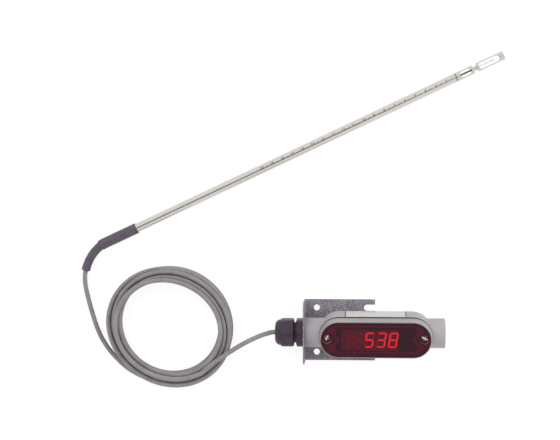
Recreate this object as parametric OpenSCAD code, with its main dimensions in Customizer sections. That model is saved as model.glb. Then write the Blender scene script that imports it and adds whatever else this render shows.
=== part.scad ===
// Air velocity transmitter: a conduit-body housing with a red readout on a sheet bracket,
// a cable gland, a coiled lead and a rod probe with two sensing windows.
// Millimetres. The origin is the middle of the bracket's hole and slot pattern, on its back face.
// +X runs along the hubs, +Z out of the wall.

/* [Bracket] */
// Height of the back plate
plate_h = 55; // [52:1:70]
// Thickness of the sheet
sheet_t = 1.2; // [1:0.1:2.5]
// How far the flange stands out from the wall
flange_d = 38; // [35:0.5:46]
// Radius of the flange's outer corners
flange_corner_r = 10; // [4:0.5:12]
// From the flange's outer face to the round holes
hole_inset = 11.25; // [9:0.25:14]
// From the round holes to the slots' round ends
hole_span = 45; // [40:0.5:48]
// From the slots' round ends to the plate's open edge
slot_l = 7.25; // [6:0.25:10]
// Between the two round holes
hole_pitch = 40; // [34:0.5:44]
// Diameter of the round holes
hole_d = 5.5; // [4:0.1:6.5]
// Width of the open slots
slot_w = 5.6; // [4.6:0.1:6.6]
// Space between the housing's back and the plate
back_gap = 5; // [5:0.5:9]

/* [Housing] */
// Length of the housing's body without its hubs
body_l = 99.6; // [98:0.2:106]
// Width of the housing
body_w = 36; // [35.6:0.1:38]
// From the hubs' top to the open rim
rim_over = 0.9; // [0.7:0.1:3]
// From the hubs' underside to the back
back_over = 1.9; // [1.4:0.1:2.4]
// Wall thickness of the casting
wall = 2.4; // [1.8:0.1:2.6]
// Radius of the casting's back edges
back_r = 9.3; // [9:0.1:9.4]
// Diameter of the hubs
hub_d = 26.2; // [25:0.2:28]
// Bore of the hubs, the core diameter of a half-inch conduit thread
hub_bore_d = 19.4; // [18.6:0.1:20]
// Length of the hub at the gland
gland_hub_l = 12.45; // [11:0.5:16]
// Length of the hub at the conduit entry
entry_hub_l = 11; // [10:0.5:16]
// Thickness of the lip that stops the conduit inside the entry
entry_lip_t = 1.65; // [1:0.05:3]
// Bore of that lip
entry_lip_d = 15.8; // [14:0.2:17]
// How far the housing is turned about the hub axis, in degrees
roll = 8; // [0:1:12]
// Space between the blank label and the round ends of the housing
label_inset = 5.1; // [2:0.1:12]
// Space above and below the blank label on the flat of the housing's side
label_edge = 0.3; // [0.2:0.1:4]

/* [Cover] */
// Thickness of the lens
lens_t = 3; // [2:0.1:3.5]
// How far the lens stands above the cover's rim
lens_proud = 0.3; // [0:0.1:0.8]
// How far the cover's base stands in from the housing's sides
cover_inset = 0.7; // [0.3:0.1:0.9]
// How far the cover's sides lean in
cover_draft = 1.2; // [0.8:0.1:1.6]
// How much longer the cover's straight sides are than the housing's
cover_longer = 0.9; // [0.5:0.1:1.2]
// Height of the cover
cover_h = 10.1; // [9.8:0.1:13]
// Thickness of the cover's rim round the lens
rim_t = 0.7; // [0.5:0.1:1]
// Width of the ledge that the lens rests on
ledge = 1.6; // [1:0.1:2]
// Diameter of the screw heads
screw_head_d = 6.3; // [5:0.1:7]
// Diameter of the screw shanks
screw_d = 3.8; // [3:0.1:4]
// Clear space round the screw heads in their wells
well_gap = 1.15; // [0.8:0.05:1.3]
// From the wells to the ends of the lens
well_edge = 0.7; // [0.5:0.05:1]

/* [Readout] */
// Height of the display's face
display_h = 19.2; // [17:0.2:20]
// Height of the digits
digit_h = 13.6; // [10:0.2:15]
// Width of a segment
segment_w = 1.4; // [1:0.1:1.8]
// Slant of the digits, in degrees
digit_slant = 9; // [0:1:12]

/* [Gland] */
// Length of the body's hexagon
hex_l = 6.3; // [5:0.1:9]
// Length of the domed nut
nut_l = 17; // [16:0.5:20]
// Gap between the nut and the hexagon
nut_gap = 1.8; // [0.5:0.1:3]
// Radius of the nut's rounded front edge
dome_r = 4.5; // [2:0.5:5]
// Length of the thread that reaches into the hub
stem_l = 14.5; // [13:0.5:16]

/* [Cable] */
// Diameter of the cable
cable_d = 4.2; // [3.8:0.1:4.4]
// Clear space between neighbouring turns and between layers of the coil
coil_clear = 0.6; // [0.6:0.1:0.9]
// Radius of the outermost turn's centre line
coil_out_r = 54.6; // [50:0.2:60]
// Turns in each full layer
layer_turns = 2.39; // [1.8:0.01:2.6]
// Turns in the whole coil
coil_turns = 8.144; // [7.6:0.002:8.4]

/* [Probe] */
// Diameter of the probe
probe_d = 7.94; // [7:0.02:9]
// Wall of the probe tube
tube_t = 0.5; // [0.3:0.05:0.8]
// From the boot to the joint with the sensing head
tube_out = 314.7; // [200:0.5:400]
// Length of the sensing head
head_l = 45.6; // [44:0.2:60]
// Angle of the probe to the hub axis, in degrees
probe_angle = 25.2; // [0:0.1:60]
// Width of the sensing windows
window_w = 5.4; // [4:0.1:6]
// Diameter of the neck between the windows
neck_d = 3.8; // [3:0.1:4.5]
// Thickness of the boot over the tube
boot_t = 0.83; // [0.7:0.01:1.6]
// Length of the boot's straight part
boot_l = 34; // [30:0.5:50]
// Thickness of the boot over the cable
boot_bend_t = 1.85; // [1.2:0.05:2]
// Radius of the boot's bend
boot_bend_r = 37.8; // [30:0.2:45]
// Angle that the boot bends through, in degrees
boot_bend = 45; // [30:1:60]

/* [Hidden] */
$fn = 64;
// Overrun of cuts
over = 1;
// Clearances: running threads, loose parts, and faces that turn past each other
thread_gap = 0.08;
loose_gap = 0.15;
turn_gap = 0.05;
flange_hole_gap = 0.6;

// Places along the hub axis, and the heights of the hubs' axis, rim and back
plate_w = hole_inset + hole_span + slot_l;
rim_w = hub_d / 2 + rim_over;
back_w = hub_d / 2 + back_over;
hub_h = sheet_t + back_gap + back_w;
flange_out_x = -hole_inset - hole_span / 2;
hub_face_x = flange_out_x + sheet_t + turn_gap;
body_x = hub_face_x + gland_hub_l + body_l / 2;
hub_bore_r = hub_bore_d / 2;
stem_r = hub_bore_r - thread_gap;
flange_hole_r = stem_r + flange_hole_gap;

// Housing, measured from the middle of its body: x along the hubs, z out of the rim
body_span = body_l - body_w;
body_in_w = body_w / 2 - wall;
floor_z = wall - back_w;
label_w = body_span - 2 * label_inset;
label_h = rim_w + back_w - back_r - 2 * label_edge;
label_t = 0.3;
boss_t = 2.3;
boss_r = screw_d / 2 + boss_t;
boss_h = 9;
gasket_t = 0.6;
cover_w = body_w - 2 * cover_inset;
lens_w = cover_w - 2 * (cover_draft + rim_t + loose_gap);
lens_span = body_span + cover_longer;
lens_l = lens_span + lens_w;
cover_z = rim_w + gasket_t;
cover_top = cover_z + cover_h;
lens_z = cover_top + lens_proud - lens_t;
mask_t = 0.4;
mask_z = lens_z - mask_t;
lens_gasket_t = 0.5;
ledge_z = mask_z - lens_gasket_t;
bezel_w = lens_w + 2 * loose_gap + 2 * rim_t;
bezel_edge = 0.35;
well_r = screw_head_d / 2 + well_gap;
well_wall = 1;
screw_span = lens_l - 2 * (well_r + well_edge);
screw_floor_t = 1.8;
screw_seat_z = cover_z + screw_floor_t;
screw_head_h = 2.3;
screw_l = 10.4;
screw_slot = [1, 1.1];
cover_room_l = screw_span - 2 * (well_r + well_wall);
cover_room_w = lens_w - 2 * ledge;
room_corner_r = 3;

// Boards and what they carry
board_t = 1.6;
board_end_gap = 0.8;
board_l = screw_span - 2 * (boss_r + board_end_gap);
board_gap = 0.4;
display_board_w = 2 * (body_in_w - board_gap);
main_board_gap = 1.6;
main_board_w = 2 * (body_in_w - main_board_gap);
lower_h = 8.2;
main_z = floor_z + lower_h;
main_top = main_z + board_t;
display_top = rim_w;
display_z = display_top - board_t;
standoff_r = 2.5;
standoff_inset = 3.3;
standoff_side_gap = 0.6;
standoff_at = [
    board_l / 2 - standoff_inset,
    body_w / 2 - back_r - standoff_r - standoff_side_gap
];
stud_r = 1.1;
stud_l = 4;
board_hole_r = 1.4;
board_screw_head = [2, 1.5];
switch_size = [6, 6, 3.5];
switch_gap = 0.95;
switch_x = standoff_at[0] - standoff_r - switch_gap - switch_size[0] / 2;
switch_pitch_share = 0.293;
switch_pitch = cover_room_w * switch_pitch_share;
display_case_edge = 1;
display_gap = 0.45;
display_switch_gap = 4;
display_from = standoff_r + display_gap + display_case_edge - standoff_at[0];
display_to = switch_x - switch_size[0] / 2 - display_switch_gap - display_case_edge;
display_w = display_to - display_from;
display_x = (display_from + display_to) / 2;
display_y = -0.6;
display_case_gap = 0.8;
display_case_top = mask_z - display_case_gap;
segment_t = 0.2;
segment_split = 0.14;
digit_pitch_share = 0.206;
digit_share = 0.757;
digit_first_share = -1.02;
digit_pitch = display_w * digit_pitch_share;
digit_w = digit_pitch * digit_share;
button_r = 1.7;
button_up_h = 1.5;
button_sunk = 0.8;
button_travel = 0.3;
block_size = [11, 20, 10];
block_inset = 18;
block_x = board_l / 2 - block_inset;
block_ways = 4;
block_pitch = 4.8;
terminal_screw_r = 1.6;
terminal_screw_sunk = 0.8;
terminal_screw_proud = 0.3;
wire_hole_r = 1.5;
header_size = [4, 12, 6];
header_inset = 13.5;
header_x = header_inset - board_l / 2;
link_size = [16, 2.5, 8.5];
link_inset = 3.7;
link_gap = 1.9;
link_at = [block_x - link_size[0] - link_gap, main_board_w / 2 - link_inset];
link_pins = 8;
link_pin_r = 0.32;
converter_size = [18, 11, 9];
converter_gap = 3;
converter_at = [header_x + header_size[0] + converter_gap, -3.4];
capacitor_r = 3.2;
capacitor_h = 10.5;
capacitor_gap = 0.6;
capacitor_x = [for (i = [1, 3]) block_x - i * (capacitor_r + capacitor_gap)];
capacitor_inset = 6.6;
capacitor_y = capacitor_inset - main_board_w / 2;
controller_size = [7, 7, 1.4];
controller_gap = 0.6;
controller_inset = 3.1;
controller_at = [
    header_x + header_size[0] + controller_gap,
    controller_inset - main_board_w / 2
];
driver_size = [10, 6, 1.5];
driver_x = [-21, 2];
ground_screw_r = 3.1;
ground_screw_h = 2.4;
ground_screw_gap = 0.6;
ground_screw_x = standoff_at[0] - standoff_r - ground_screw_gap - ground_screw_r;
sensor_wire_r = 0.45;
sensor_wire_fan = 0.7;
sensor_wire_pitch = 2.8;
sensor_wire_z = 0.2;
sheath_gap = 0.55;
sheath_end_x = body_x - board_l / 2 - sheath_gap;

// Gland, measured outwards from the flange
cable_r = cable_d / 2;
thread_less = 0.22;
thread_r = stem_r - thread_less;
thread_l = 18;
gland_wall = 2.4;
gland_bore_r = thread_r - gland_wall;
o_ring_gap = 0.78;
o_ring_in_r = stem_r + o_ring_gap;
o_ring_t = 1;
o_ring_out_r = o_ring_in_r + o_ring_t;
hex_edge = 0.6;
hex_af = 2 * (o_ring_out_r + hex_edge);
claw_l = 4.5;
claw_less = 0.8;
claw_r = thread_r - claw_less;
claw_taper = 2;
claw_tip_r = claw_r - claw_taper;
claw_bore_r = gland_bore_r - claw_taper;
claw_slot_w = 1.2;
claw_slots = 8;
seal_in = 9;
seal_fit = 0.05;
nut_room = 0.6;
nut_turned = 1.2;
nut_cable_gap = 1.1;
nut_hole_r = cable_r + nut_cable_gap;
hex_turn = -7;

// Cable
coil_pitch = cable_d + coil_clear;
cable_sides = 8;
coil_sides = 6;
turn_rings = 24;
coil_at = [-154.5, 1.8];
coil_start = 250;
coil_sway = 2.4;
coil_sway_at = -22;
climb_turns = 0.5;

// Probe, measured from the boot's edge
probe_at = [-184.6, 91.2];
tube_r = probe_d / 2;
boot_d = probe_d + 2 * boot_t;
boot_bend_d = cable_d + 2 * boot_bend_t;
probe_z = boot_d / 2;
tube_in_r = tube_r - tube_t;
tube_root_less = 0.2;
tube_root_r = tube_r - tube_root_less;
tube_in = 26;
ring_t = 0.7;
ring_sunk = 0.2;
spigot_l = 10;
spigot_gap = 0.05;
window_1 = [3.5, 14.5];
head_1_end = 16.1;
neck_l = 4;
window_2_in = 1.1;
window_2_short = 3.9;
window_2 = [head_1_end + neck_l + window_2_in, head_l - window_2_short];
head_end_chamfer = 0.4;
lead_bore_r = 1.2;
neck_bore_r = 0.75;
plug_l = 10;
seat_l = 6.6;
seat_back = 16.7;
probe_wire_r = 0.4;
probe_wire_ring = 1.6;
probe_wires_n = 4;
rod_r = 0.75;
rod_bead_r = 1.1;
rod_bead_l = 1.8;
film_r = 0.45;
film_bead_r = 0.7;
film_bead_l = 2.4;
film_short = 4.5;
film_l = window_2[1] - window_2[0] - film_short;
boot_gap = 0.05;
boot_shoulder = 2;
boot_kink = 9;

// Where the boot ends: its heading, then the end point of its bend
boot_heading = probe_angle + 180 + boot_kink;
boot_back = [
    probe_at[0] - boot_l * cos(probe_angle),
    probe_at[1] - boot_l * sin(probe_angle),
    probe_z
];
exit_heading = boot_heading + boot_bend;
boot_end = boot_back + boot_bend_r * [
    sin(exit_heading) - sin(boot_heading),
    cos(boot_heading) - cos(exit_heading),
    0
];
exit_dir = [cos(exit_heading), sin(exit_heading), 0];

// Free stretch from the boot to the coil
probe_route = [
    [-232, 40, 3.8], [-230, 29, 2.6], [-227, 17, 2.1], [-223, 4, 2.1],
    [-218, -8, 2.1], [-211, -19, 2.1], [-203, -28, 2.1], [-194, -36, 2.1]
];
// Free stretch from the coil to the gland
gland_route = [
    [-118, -31.6, 16.5], [-108, -24.3, 16.4], [-98, -17.6, 16.6], [-88, -11.4, 17.6],
    [-79, -6.6, 19], [-71, -3, 20.4], [-65, -1, 21.1]
];

function unit(v) = v / norm(v);
function ease(x) = let (c = max(0, min(1, x))) c * c * (3 - 2 * c);

// Coil: how many turns in from the outermost one, after t turns, with rounded reversals
function turns_in(t) =
    let (m = t - 2 * layer_turns * floor(t / (2 * layer_turns)))
    let (d = min(m, 2 * layer_turns - m), half = climb_turns / 2)
    d < half && t > layer_turns ? half / 2 + d * d / climb_turns :
    d > layer_turns - half ? layer_turns - half / 2 - pow(layer_turns - d, 2) / climb_turns :
    d;
function layers_up(t) = ease((t - layer_turns) / climb_turns + 1 / 2)
    + ease((t - 2 * layer_turns) / climb_turns + 1 / 2)
    + ease((t - 3 * layer_turns) / climb_turns + 1 / 2);
function coil_point(t) =
    let (a = coil_start + 360 * t)
    let (r = coil_out_r - coil_pitch * turns_in(t) + coil_sway * cos(2 * (a - coil_sway_at)))
    [coil_at[0] + r * cos(a), coil_at[1] + r * sin(a), cable_r + coil_pitch * layers_up(t)];
function coil_dir(t) =
    let (d = unit(coil_point(t + 1 / 500) - coil_point(t - 1 / 500)))
    unit([d[0], d[1], 0]);
coil_steps = round(coil_turns * turn_rings);
coil_first = coil_point(0) - cable_d * coil_dir(0);
coil_last = coil_point(coil_turns) + cable_d * coil_dir(coil_turns);
coil_path = concat(
    [coil_first],
    [for (i = [0 : coil_steps]) coil_point(i * coil_turns / coil_steps)],
    [coil_last]
);

// Least gap of the coil to itself, between points at least half a turn apart
coil_gap = min([
    for (i = [0 : coil_steps])
        for (j = [i + turn_rings / 2 : coil_steps])
            norm(coil_path[i + 1] - coil_path[j + 1])
]) - cable_d;
echo(coil_gap = coil_gap);

// A tube swept along points: rings square to the path, closed at both ends
function path_dir(p, i, first, last) =
    i == 0 ? first : i == len(p) - 1 ? last : unit(unit(p[i + 1] - p[i]) + unit(p[i] - p[i - 1]));
function tube_ring(c, dir, r, n) =
    let (side = unit(cross(dir, [0, 0, 1])), up = cross(side, dir))
    [for (k = [0 : n - 1]) let (a = 360 * k / n - 90) c + r * (cos(a) * side + sin(a) * up)];
module tube(p, r, n, first, last) {
    rings = [for (i = [0 : len(p) - 1]) each tube_ring(p[i], path_dir(p, i, first, last), r, n)];
    walls = [
        for (i = [0 : len(p) - 2])
            for (k = [0 : n - 1])
                let (a = i * n + k, b = i * n + (k + 1) % n)
                each [[a, b, b + n], [a, b + n, a + n]]
    ];
    end = (len(p) - 1) * n;
    caps = [for (k = [1 : n - 2]) each [[0, k + 1, k], [end, end + k, end + k + 1]]];
    polyhedron(rings, concat(walls, caps));
}

// Frames: the housing turned on its hub axis, the gland outwards from the flange, the probe from its boot
module in_housing() {
    translate([0, 0, hub_h]) rotate([roll, 0, 0]) translate([body_x, 0, 0]) children();
}
module on_gland() {
    translate([flange_out_x, 0, hub_h]) rotate([0, -90, 0]) children();
}
module on_probe() {
    translate([probe_at[0], probe_at[1], probe_z]) rotate([0, 0, probe_angle]) rotate([0, 90, 0]) children();
}
module both_ends(x) {
    for (s = [-1, 1]) translate([s * x, 0, 0]) children();
}

// A solid with a stadium plan: the half profile turned about both end centres and run between them
module stadium_solid(span) {
    both_ends(span / 2) rotate_extrude() children();
    rotate([90, 0, 90]) linear_extrude(span, center = true) {
        children();
        mirror([1, 0]) children();
    }
}
module stadium_plate(span, w, z, t) {
    stadium_solid(span) translate([0, z]) square([w / 2, t]);
}
// Half profile of a pan with a rounded lower edge
module pan_profile(half_w, low, high, r) {
    intersection() {
        union() {
            translate([0, low + r]) square([half_w, high - low - r]);
            translate([0, low]) square([half_w - r, r]);
            translate([half_w - r, low + r]) circle(r);
        }
        translate([0, low]) square([half_w, high - low]);
    }
}
module plate_at(x, y, z, size) {
    translate([x, y, z]) cube(size);
}
module centred_block(x, y, z, size) {
    translate([x - size[0] / 2, y - size[1] / 2, z]) cube(size);
}
module ring(outer, inner, h) {
    difference() {
        cylinder(h = h, r = outer);
        translate([0, 0, -over]) cylinder(h = h + 2 * over, r = inner);
    }
}
module at_standoffs() {
    for (sx = [-1, 1], sy = [-1, 1])
        translate([sx * standoff_at[0], sy * standoff_at[1], 0]) children();
}

// Bracket
module mounting_bracket() {
    color([0.55, 0.52, 0.56]) {
        difference() {
            translate([flange_out_x, -plate_h / 2, 0]) cube([plate_w, plate_h, sheet_t]);
            for (s = [-1, 1]) {
                translate([-hole_span / 2, s * hole_pitch / 2, -over])
                    cylinder(h = sheet_t + 2 * over, d = hole_d);
                translate([hole_span / 2, s * hole_pitch / 2, -over]) {
                    cylinder(h = sheet_t + 2 * over, d = slot_w);
                    translate([0, -slot_w / 2, 0]) cube([plate_w, slot_w, sheet_t + 2 * over]);
                }
            }
        }
        difference() {
            translate([flange_out_x, 0, 0]) rotate([90, 0, 90]) linear_extrude(sheet_t) flange_outline();
            translate([flange_out_x - over, 0, hub_h]) rotate([0, 90, 0])
                cylinder(h = sheet_t + 2 * over, r = flange_hole_r);
        }
    }
}
module flange_outline() {
    translate([-plate_h / 2, 0]) square([plate_h, flange_d - flange_corner_r]);
    translate([flange_corner_r - plate_h / 2, 0]) square([plate_h - 2 * flange_corner_r, flange_d]);
    for (s = [-1, 1])
        translate([s * (plate_h / 2 - flange_corner_r), flange_d - flange_corner_r]) circle(flange_corner_r);
}

// Housing
module conduit_body() {
    color([0.67, 0.65, 0.68]) in_housing() difference() {
        union() {
            difference() {
                union() {
                    stadium_solid(body_span) pan_profile(body_w / 2, -back_w, rim_w, back_r);
                    hub_rods();
                }
                stadium_solid(body_span) pan_profile(body_in_w, floor_z, rim_w + over, back_r - wall);
            }
            both_ends(screw_span / 2) translate([0, 0, rim_w - boss_h]) cylinder(h = boss_h, r = boss_r);
            for (s = [-1, 1]) scale([s, 1, 1])
                plate_at(screw_span / 2, -boss_r, rim_w - boss_h, [boss_wall_l(), 2 * boss_r, boss_h]);
        }
        hub_bores();
        both_ends(screw_span / 2) translate([0, 0, rim_w - boss_h - over])
            cylinder(h = boss_h + 2 * over, d = screw_d + 2 * turn_gap);
        translate([ground_screw_x, 0, floor_z - wall / 2]) cylinder(h = wall, d = screw_d + 2 * turn_gap);
    }
}
// From the cover screw to the middle of the end wall
function boss_wall_l() = body_l / 2 - wall / 2 - screw_span / 2;
// Both hubs as rods that reach inside the body's end walls
function hub_root() = wall + back_r / 2;
module hub_rods() {
    translate([-body_l / 2 - gland_hub_l, 0, 0]) rotate([0, 90, 0])
        cylinder(h = gland_hub_l + hub_root(), d = hub_d);
    translate([body_l / 2 - hub_root(), 0, 0]) rotate([0, 90, 0])
        cylinder(h = entry_hub_l + hub_root(), d = hub_d);
}
// Bores of the hubs: a through bore for the gland, and a blind one with a lip for the conduit
module hub_bores() {
    translate([-body_l / 2 - gland_hub_l - over, 0, 0]) rotate([0, 90, 0])
        cylinder(h = gland_hub_l + hub_root() + over, r = hub_bore_r);
    translate([body_l / 2 - wall + entry_lip_t, 0, 0]) rotate([0, 90, 0])
        cylinder(h = entry_hub_l + wall - entry_lip_t + over, r = hub_bore_r);
    translate([body_l / 2 - hub_root(), 0, 0]) rotate([0, 90, 0])
        cylinder(h = entry_hub_l + hub_root(), d = entry_lip_d);
}
module rating_label() {
    color([0.93, 0.93, 0.92]) in_housing()
        plate_at(-label_w / 2, body_w / 2, rim_w - label_edge - label_h, [label_w, label_t, label_h]);
}
module body_gasket() {
    color([0.12, 0.11, 0.12]) in_housing() difference() {
        stadium_plate(body_span, body_w - loose_gap, rim_w, gasket_t);
        stadium_plate(lens_span, cover_room_w, rim_w - over, gasket_t + 2 * over);
        both_ends(screw_span / 2) translate([0, 0, rim_w - over])
            cylinder(h = gasket_t + 2 * over, d = screw_d + 2 * loose_gap);
    }
}
module ground_screw() {
    color([0.35, 0.55, 0.35]) in_housing() translate([ground_screw_x, 0, floor_z]) difference() {
        union() {
            cylinder(h = ground_screw_h, r = ground_screw_r, $fn = 6);
            translate([0, 0, turn_gap - wall / 2]) cylinder(h = wall / 2, d = screw_d);
        }
        centred_block(0, 0, ground_screw_h - screw_slot[1],
                      [2 * ground_screw_r + over, screw_slot[0], screw_slot[1] + over]);
    }
}

// Cover
module cover_bezel() {
    color([0.70, 0.68, 0.71]) in_housing() difference() {
        stadium_solid(lens_span) polygon([
            [0, cover_z], [cover_w / 2, cover_z],
            [bezel_w / 2, cover_top - bezel_edge], [bezel_w / 2 - bezel_edge, cover_top],
            [0, cover_top]
        ]);
        stadium_plate(lens_span, lens_w + 2 * loose_gap, ledge_z, cover_top - ledge_z + over);
        translate([0, 0, cover_z - over]) linear_extrude(ledge_z - cover_z + 2 * over) rounded_room();
        both_ends(screw_span / 2) {
            translate([0, 0, screw_seat_z]) cylinder(h = ledge_z - screw_seat_z + over, r = well_r);
            translate([0, 0, cover_z - over])
                cylinder(h = screw_floor_t + 2 * over, d = screw_d + 2 * loose_gap);
        }
    }
}
module rounded_room() {
    l = cover_room_l - 2 * room_corner_r;
    w = cover_room_w - 2 * room_corner_r;
    square([cover_room_l, w], center = true);
    square([l, cover_room_w], center = true);
    for (sx = [-1, 1], sy = [-1, 1]) translate([sx * l / 2, sy * w / 2]) circle(room_corner_r);
}
module lens_gasket() {
    color([0.13, 0.12, 0.13]) in_housing() difference() {
        stadium_plate(lens_span, lens_w, ledge_z, lens_gasket_t);
        translate([0, 0, ledge_z - over]) linear_extrude(lens_gasket_t + 2 * over) rounded_room();
        both_ends(screw_span / 2) translate([0, 0, ledge_z - over])
            cylinder(h = lens_gasket_t + 2 * over, r = well_r);
    }
}
module display_mask() {
    color([0.10, 0.08, 0.10]) in_housing() difference() {
        stadium_plate(lens_span, lens_w, mask_z, mask_t);
        both_ends(screw_span / 2) translate([0, 0, mask_z - over])
            cylinder(h = mask_t + 2 * over, r = well_r);
        centred_block(display_x, display_y, mask_z - over, [display_w, display_h, mask_t + 2 * over]);
    }
}
module lens_window() {
    color([0.55, 0.08, 0.10, 0.6]) in_housing() difference() {
        stadium_plate(lens_span, lens_w, lens_z, lens_t);
        both_ends(screw_span / 2) translate([0, 0, lens_z - over])
            cylinder(h = lens_t + 2 * over, r = well_r);
    }
}
module cover_screws() {
    color([0.82, 0.80, 0.80]) in_housing() both_ends(screw_span / 2) translate([0, 0, screw_seat_z])
        difference() {
            union() {
                translate([0, 0, -screw_l]) cylinder(h = screw_l, d = screw_d);
                cylinder(h = screw_head_h / 2, d = screw_head_d);
                translate([0, 0, screw_head_h / 2])
                    cylinder(h = screw_head_h / 2, d1 = screw_head_d, d2 = screw_head_d * 2 / 3);
            }
            centred_block(0, 0, screw_head_h - screw_slot[1],
                          [screw_head_d + over, screw_slot[0], screw_slot[1] + over]);
        }
}

// Boards and what they carry
module board(w, z) {
    intersection() {
        centred_block(0, 0, z, [board_l, w, board_t]);
        stadium_plate(body_span, display_board_w, z, board_t);
    }
}
module lower_standoffs() {
    color([0.75, 0.65, 0.35]) in_housing() at_standoffs() translate([0, 0, floor_z]) difference() {
        cylinder(h = lower_h, r = standoff_r);
        translate([0, 0, lower_h - stud_l - over]) cylinder(h = stud_l + 2 * over, r = stud_r + turn_gap);
    }
}
module main_board() {
    color([0.10, 0.38, 0.22]) in_housing() difference() {
        board(main_board_w, main_z);
        at_standoffs() translate([0, 0, main_z - over]) cylinder(h = board_t + 2 * over, r = board_hole_r);
    }
}
module upper_standoffs() {
    color([0.75, 0.65, 0.35]) in_housing() at_standoffs() difference() {
        union() {
            translate([0, 0, main_top]) cylinder(h = display_z - main_top, r = standoff_r);
            translate([0, 0, main_z - stud_l]) cylinder(h = stud_l + board_t, r = stud_r);
        }
        translate([0, 0, display_z - stud_l - over]) cylinder(h = stud_l + 2 * over, r = stud_r + turn_gap);
    }
}
module display_board() {
    color([0.10, 0.38, 0.22]) in_housing() difference() {
        board(display_board_w, display_z);
        at_standoffs() translate([0, 0, display_z - over]) cylinder(h = board_t + 2 * over, r = board_hole_r);
    }
}
module board_screws() {
    color([0.80, 0.80, 0.82]) in_housing() at_standoffs() difference() {
        union() {
            translate([0, 0, display_top]) cylinder(h = board_screw_head[1], r = board_screw_head[0]);
            translate([0, 0, display_z - stud_l]) cylinder(h = board_t + stud_l, r = stud_r);
        }
        centred_block(0, 0, display_top + board_screw_head[1] / 2,
                      [2 * board_screw_head[0] + over, screw_slot[0] / 2, board_screw_head[1]]);
    }
}
module led_display() {
    color([0.25, 0.08, 0.10]) in_housing()
        centred_block(display_x, display_y, display_top,
                      [display_w + 2 * display_case_edge, display_h + display_case_edge,
                       display_case_top - display_top]);
}

// Digits: the seven bars of a digit run between these corners, as shares of its half width and height
bar_shares = [
    [[-1, 1], [1, 1]], [[1, 1], [1, 0]], [[1, 0], [1, -1]], [[-1, -1], [1, -1]],
    [[-1, 0], [-1, -1]], [[-1, 1], [-1, 0]], [[-1, 0], [1, 0]]
];
// Which bars are lit in the last three places
function lit_bars(i) = [[0, 5, 6, 2, 3], [0, 1, 6, 2, 3], [0, 1, 2, 3, 4, 5, 6]][i];
function leaned(p) = [p[0] + p[1] * tan(digit_slant), p[1]];
module bar(a, b) {
    d = unit(b - a);
    n = [-d[1], d[0]];
    h = segment_w / 2;
    p = a + d * segment_split;
    q = b - d * segment_split;
    polygon([
        leaned(p), leaned(p + h * (d + n)), leaned(q + h * (n - d)),
        leaned(q), leaned(q - h * (d + n)), leaned(p + h * (d - n))
    ]);
}
module bars(place, numbers) {
    half = [(digit_w - segment_w) / 2, (digit_h - segment_w) / 2];
    translate([display_x + digit_pitch * (digit_first_share + place), display_y, display_case_top])
        linear_extrude(segment_t)
        for (k = numbers)
            bar([for (i = [0, 1]) bar_shares[k][0][i] * half[i]],
                [for (i = [0, 1]) bar_shares[k][1][i] * half[i]]);
}
module lit_segments() {
    color([1.0, 0.18, 0.20]) in_housing() for (i = [0 : 2]) bars(i + 1, lit_bars(i));
}
module dim_segments() {
    color([0.45, 0.14, 0.17]) in_housing() {
        for (i = [0 : 2]) bars(i + 1, [for (k = [0 : 6]) if (len(search(k, lit_bars(i))) == 0) k]);
        bars(0, [0 : 6]);
        bars(-1, [1, 2]);
        translate([-digit_w / 2 - segment_w, 0, 0]) bars(-1, [6]);
    }
}

// Setting buttons on the display board
module at_switch(i) {
    in_housing() translate([switch_x, i * switch_pitch, display_top]) children();
}
module switch_bases() {
    color([0.15, 0.15, 0.16]) for (i = [-1 : 1]) at_switch(i) difference() {
        centred_block(0, 0, 0, switch_size);
        translate([0, 0, switch_size[2] - button_sunk - button_travel - turn_gap])
            cylinder(h = switch_size[2], r = button_r + turn_gap);
    }
}
module button(i) {
    color([0.85, 0.30, 0.20]) at_switch(i) translate([0, 0, switch_size[2] - button_sunk])
        cylinder(h = button_sunk + button_up_h, r = button_r);
}
module button_down() { button(-1); }
module button_set() { button(0); }
module button_up() { button(1); }

module terminal_block() {
    color([0.15, 0.45, 0.30]) in_housing() difference() {
        plate_at(block_x, -block_size[1] / 2, main_top, block_size);
        at_terminals() {
            translate([block_size[0] / 3, 0, block_size[2] - terminal_screw_sunk])
                cylinder(h = block_size[2], r = terminal_screw_r + turn_gap);
            translate([block_size[0] * 2 / 3, 0, block_size[2] / 3]) rotate([0, 90, 0])
                cylinder(h = block_size[0], r = wire_hole_r);
        }
    }
}
module at_terminals() {
    for (i = [0 : block_ways - 1])
        translate([block_x, (i - (block_ways - 1) / 2) * block_pitch, main_top]) children();
}
module terminal_screws() {
    color([0.80, 0.80, 0.82]) in_housing() at_terminals()
        translate([block_size[0] / 3, 0, block_size[2] - terminal_screw_sunk]) difference() {
            cylinder(h = terminal_screw_sunk + terminal_screw_proud, r = terminal_screw_r);
            centred_block(0, 0, terminal_screw_sunk / 2,
                          [2 * terminal_screw_r + over, screw_slot[0] / 2, terminal_screw_sunk]);
        }
}
module cable_header() {
    color([0.92, 0.90, 0.84]) in_housing() plate_at(header_x, -header_size[1] / 2, main_top, header_size);
}
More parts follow.
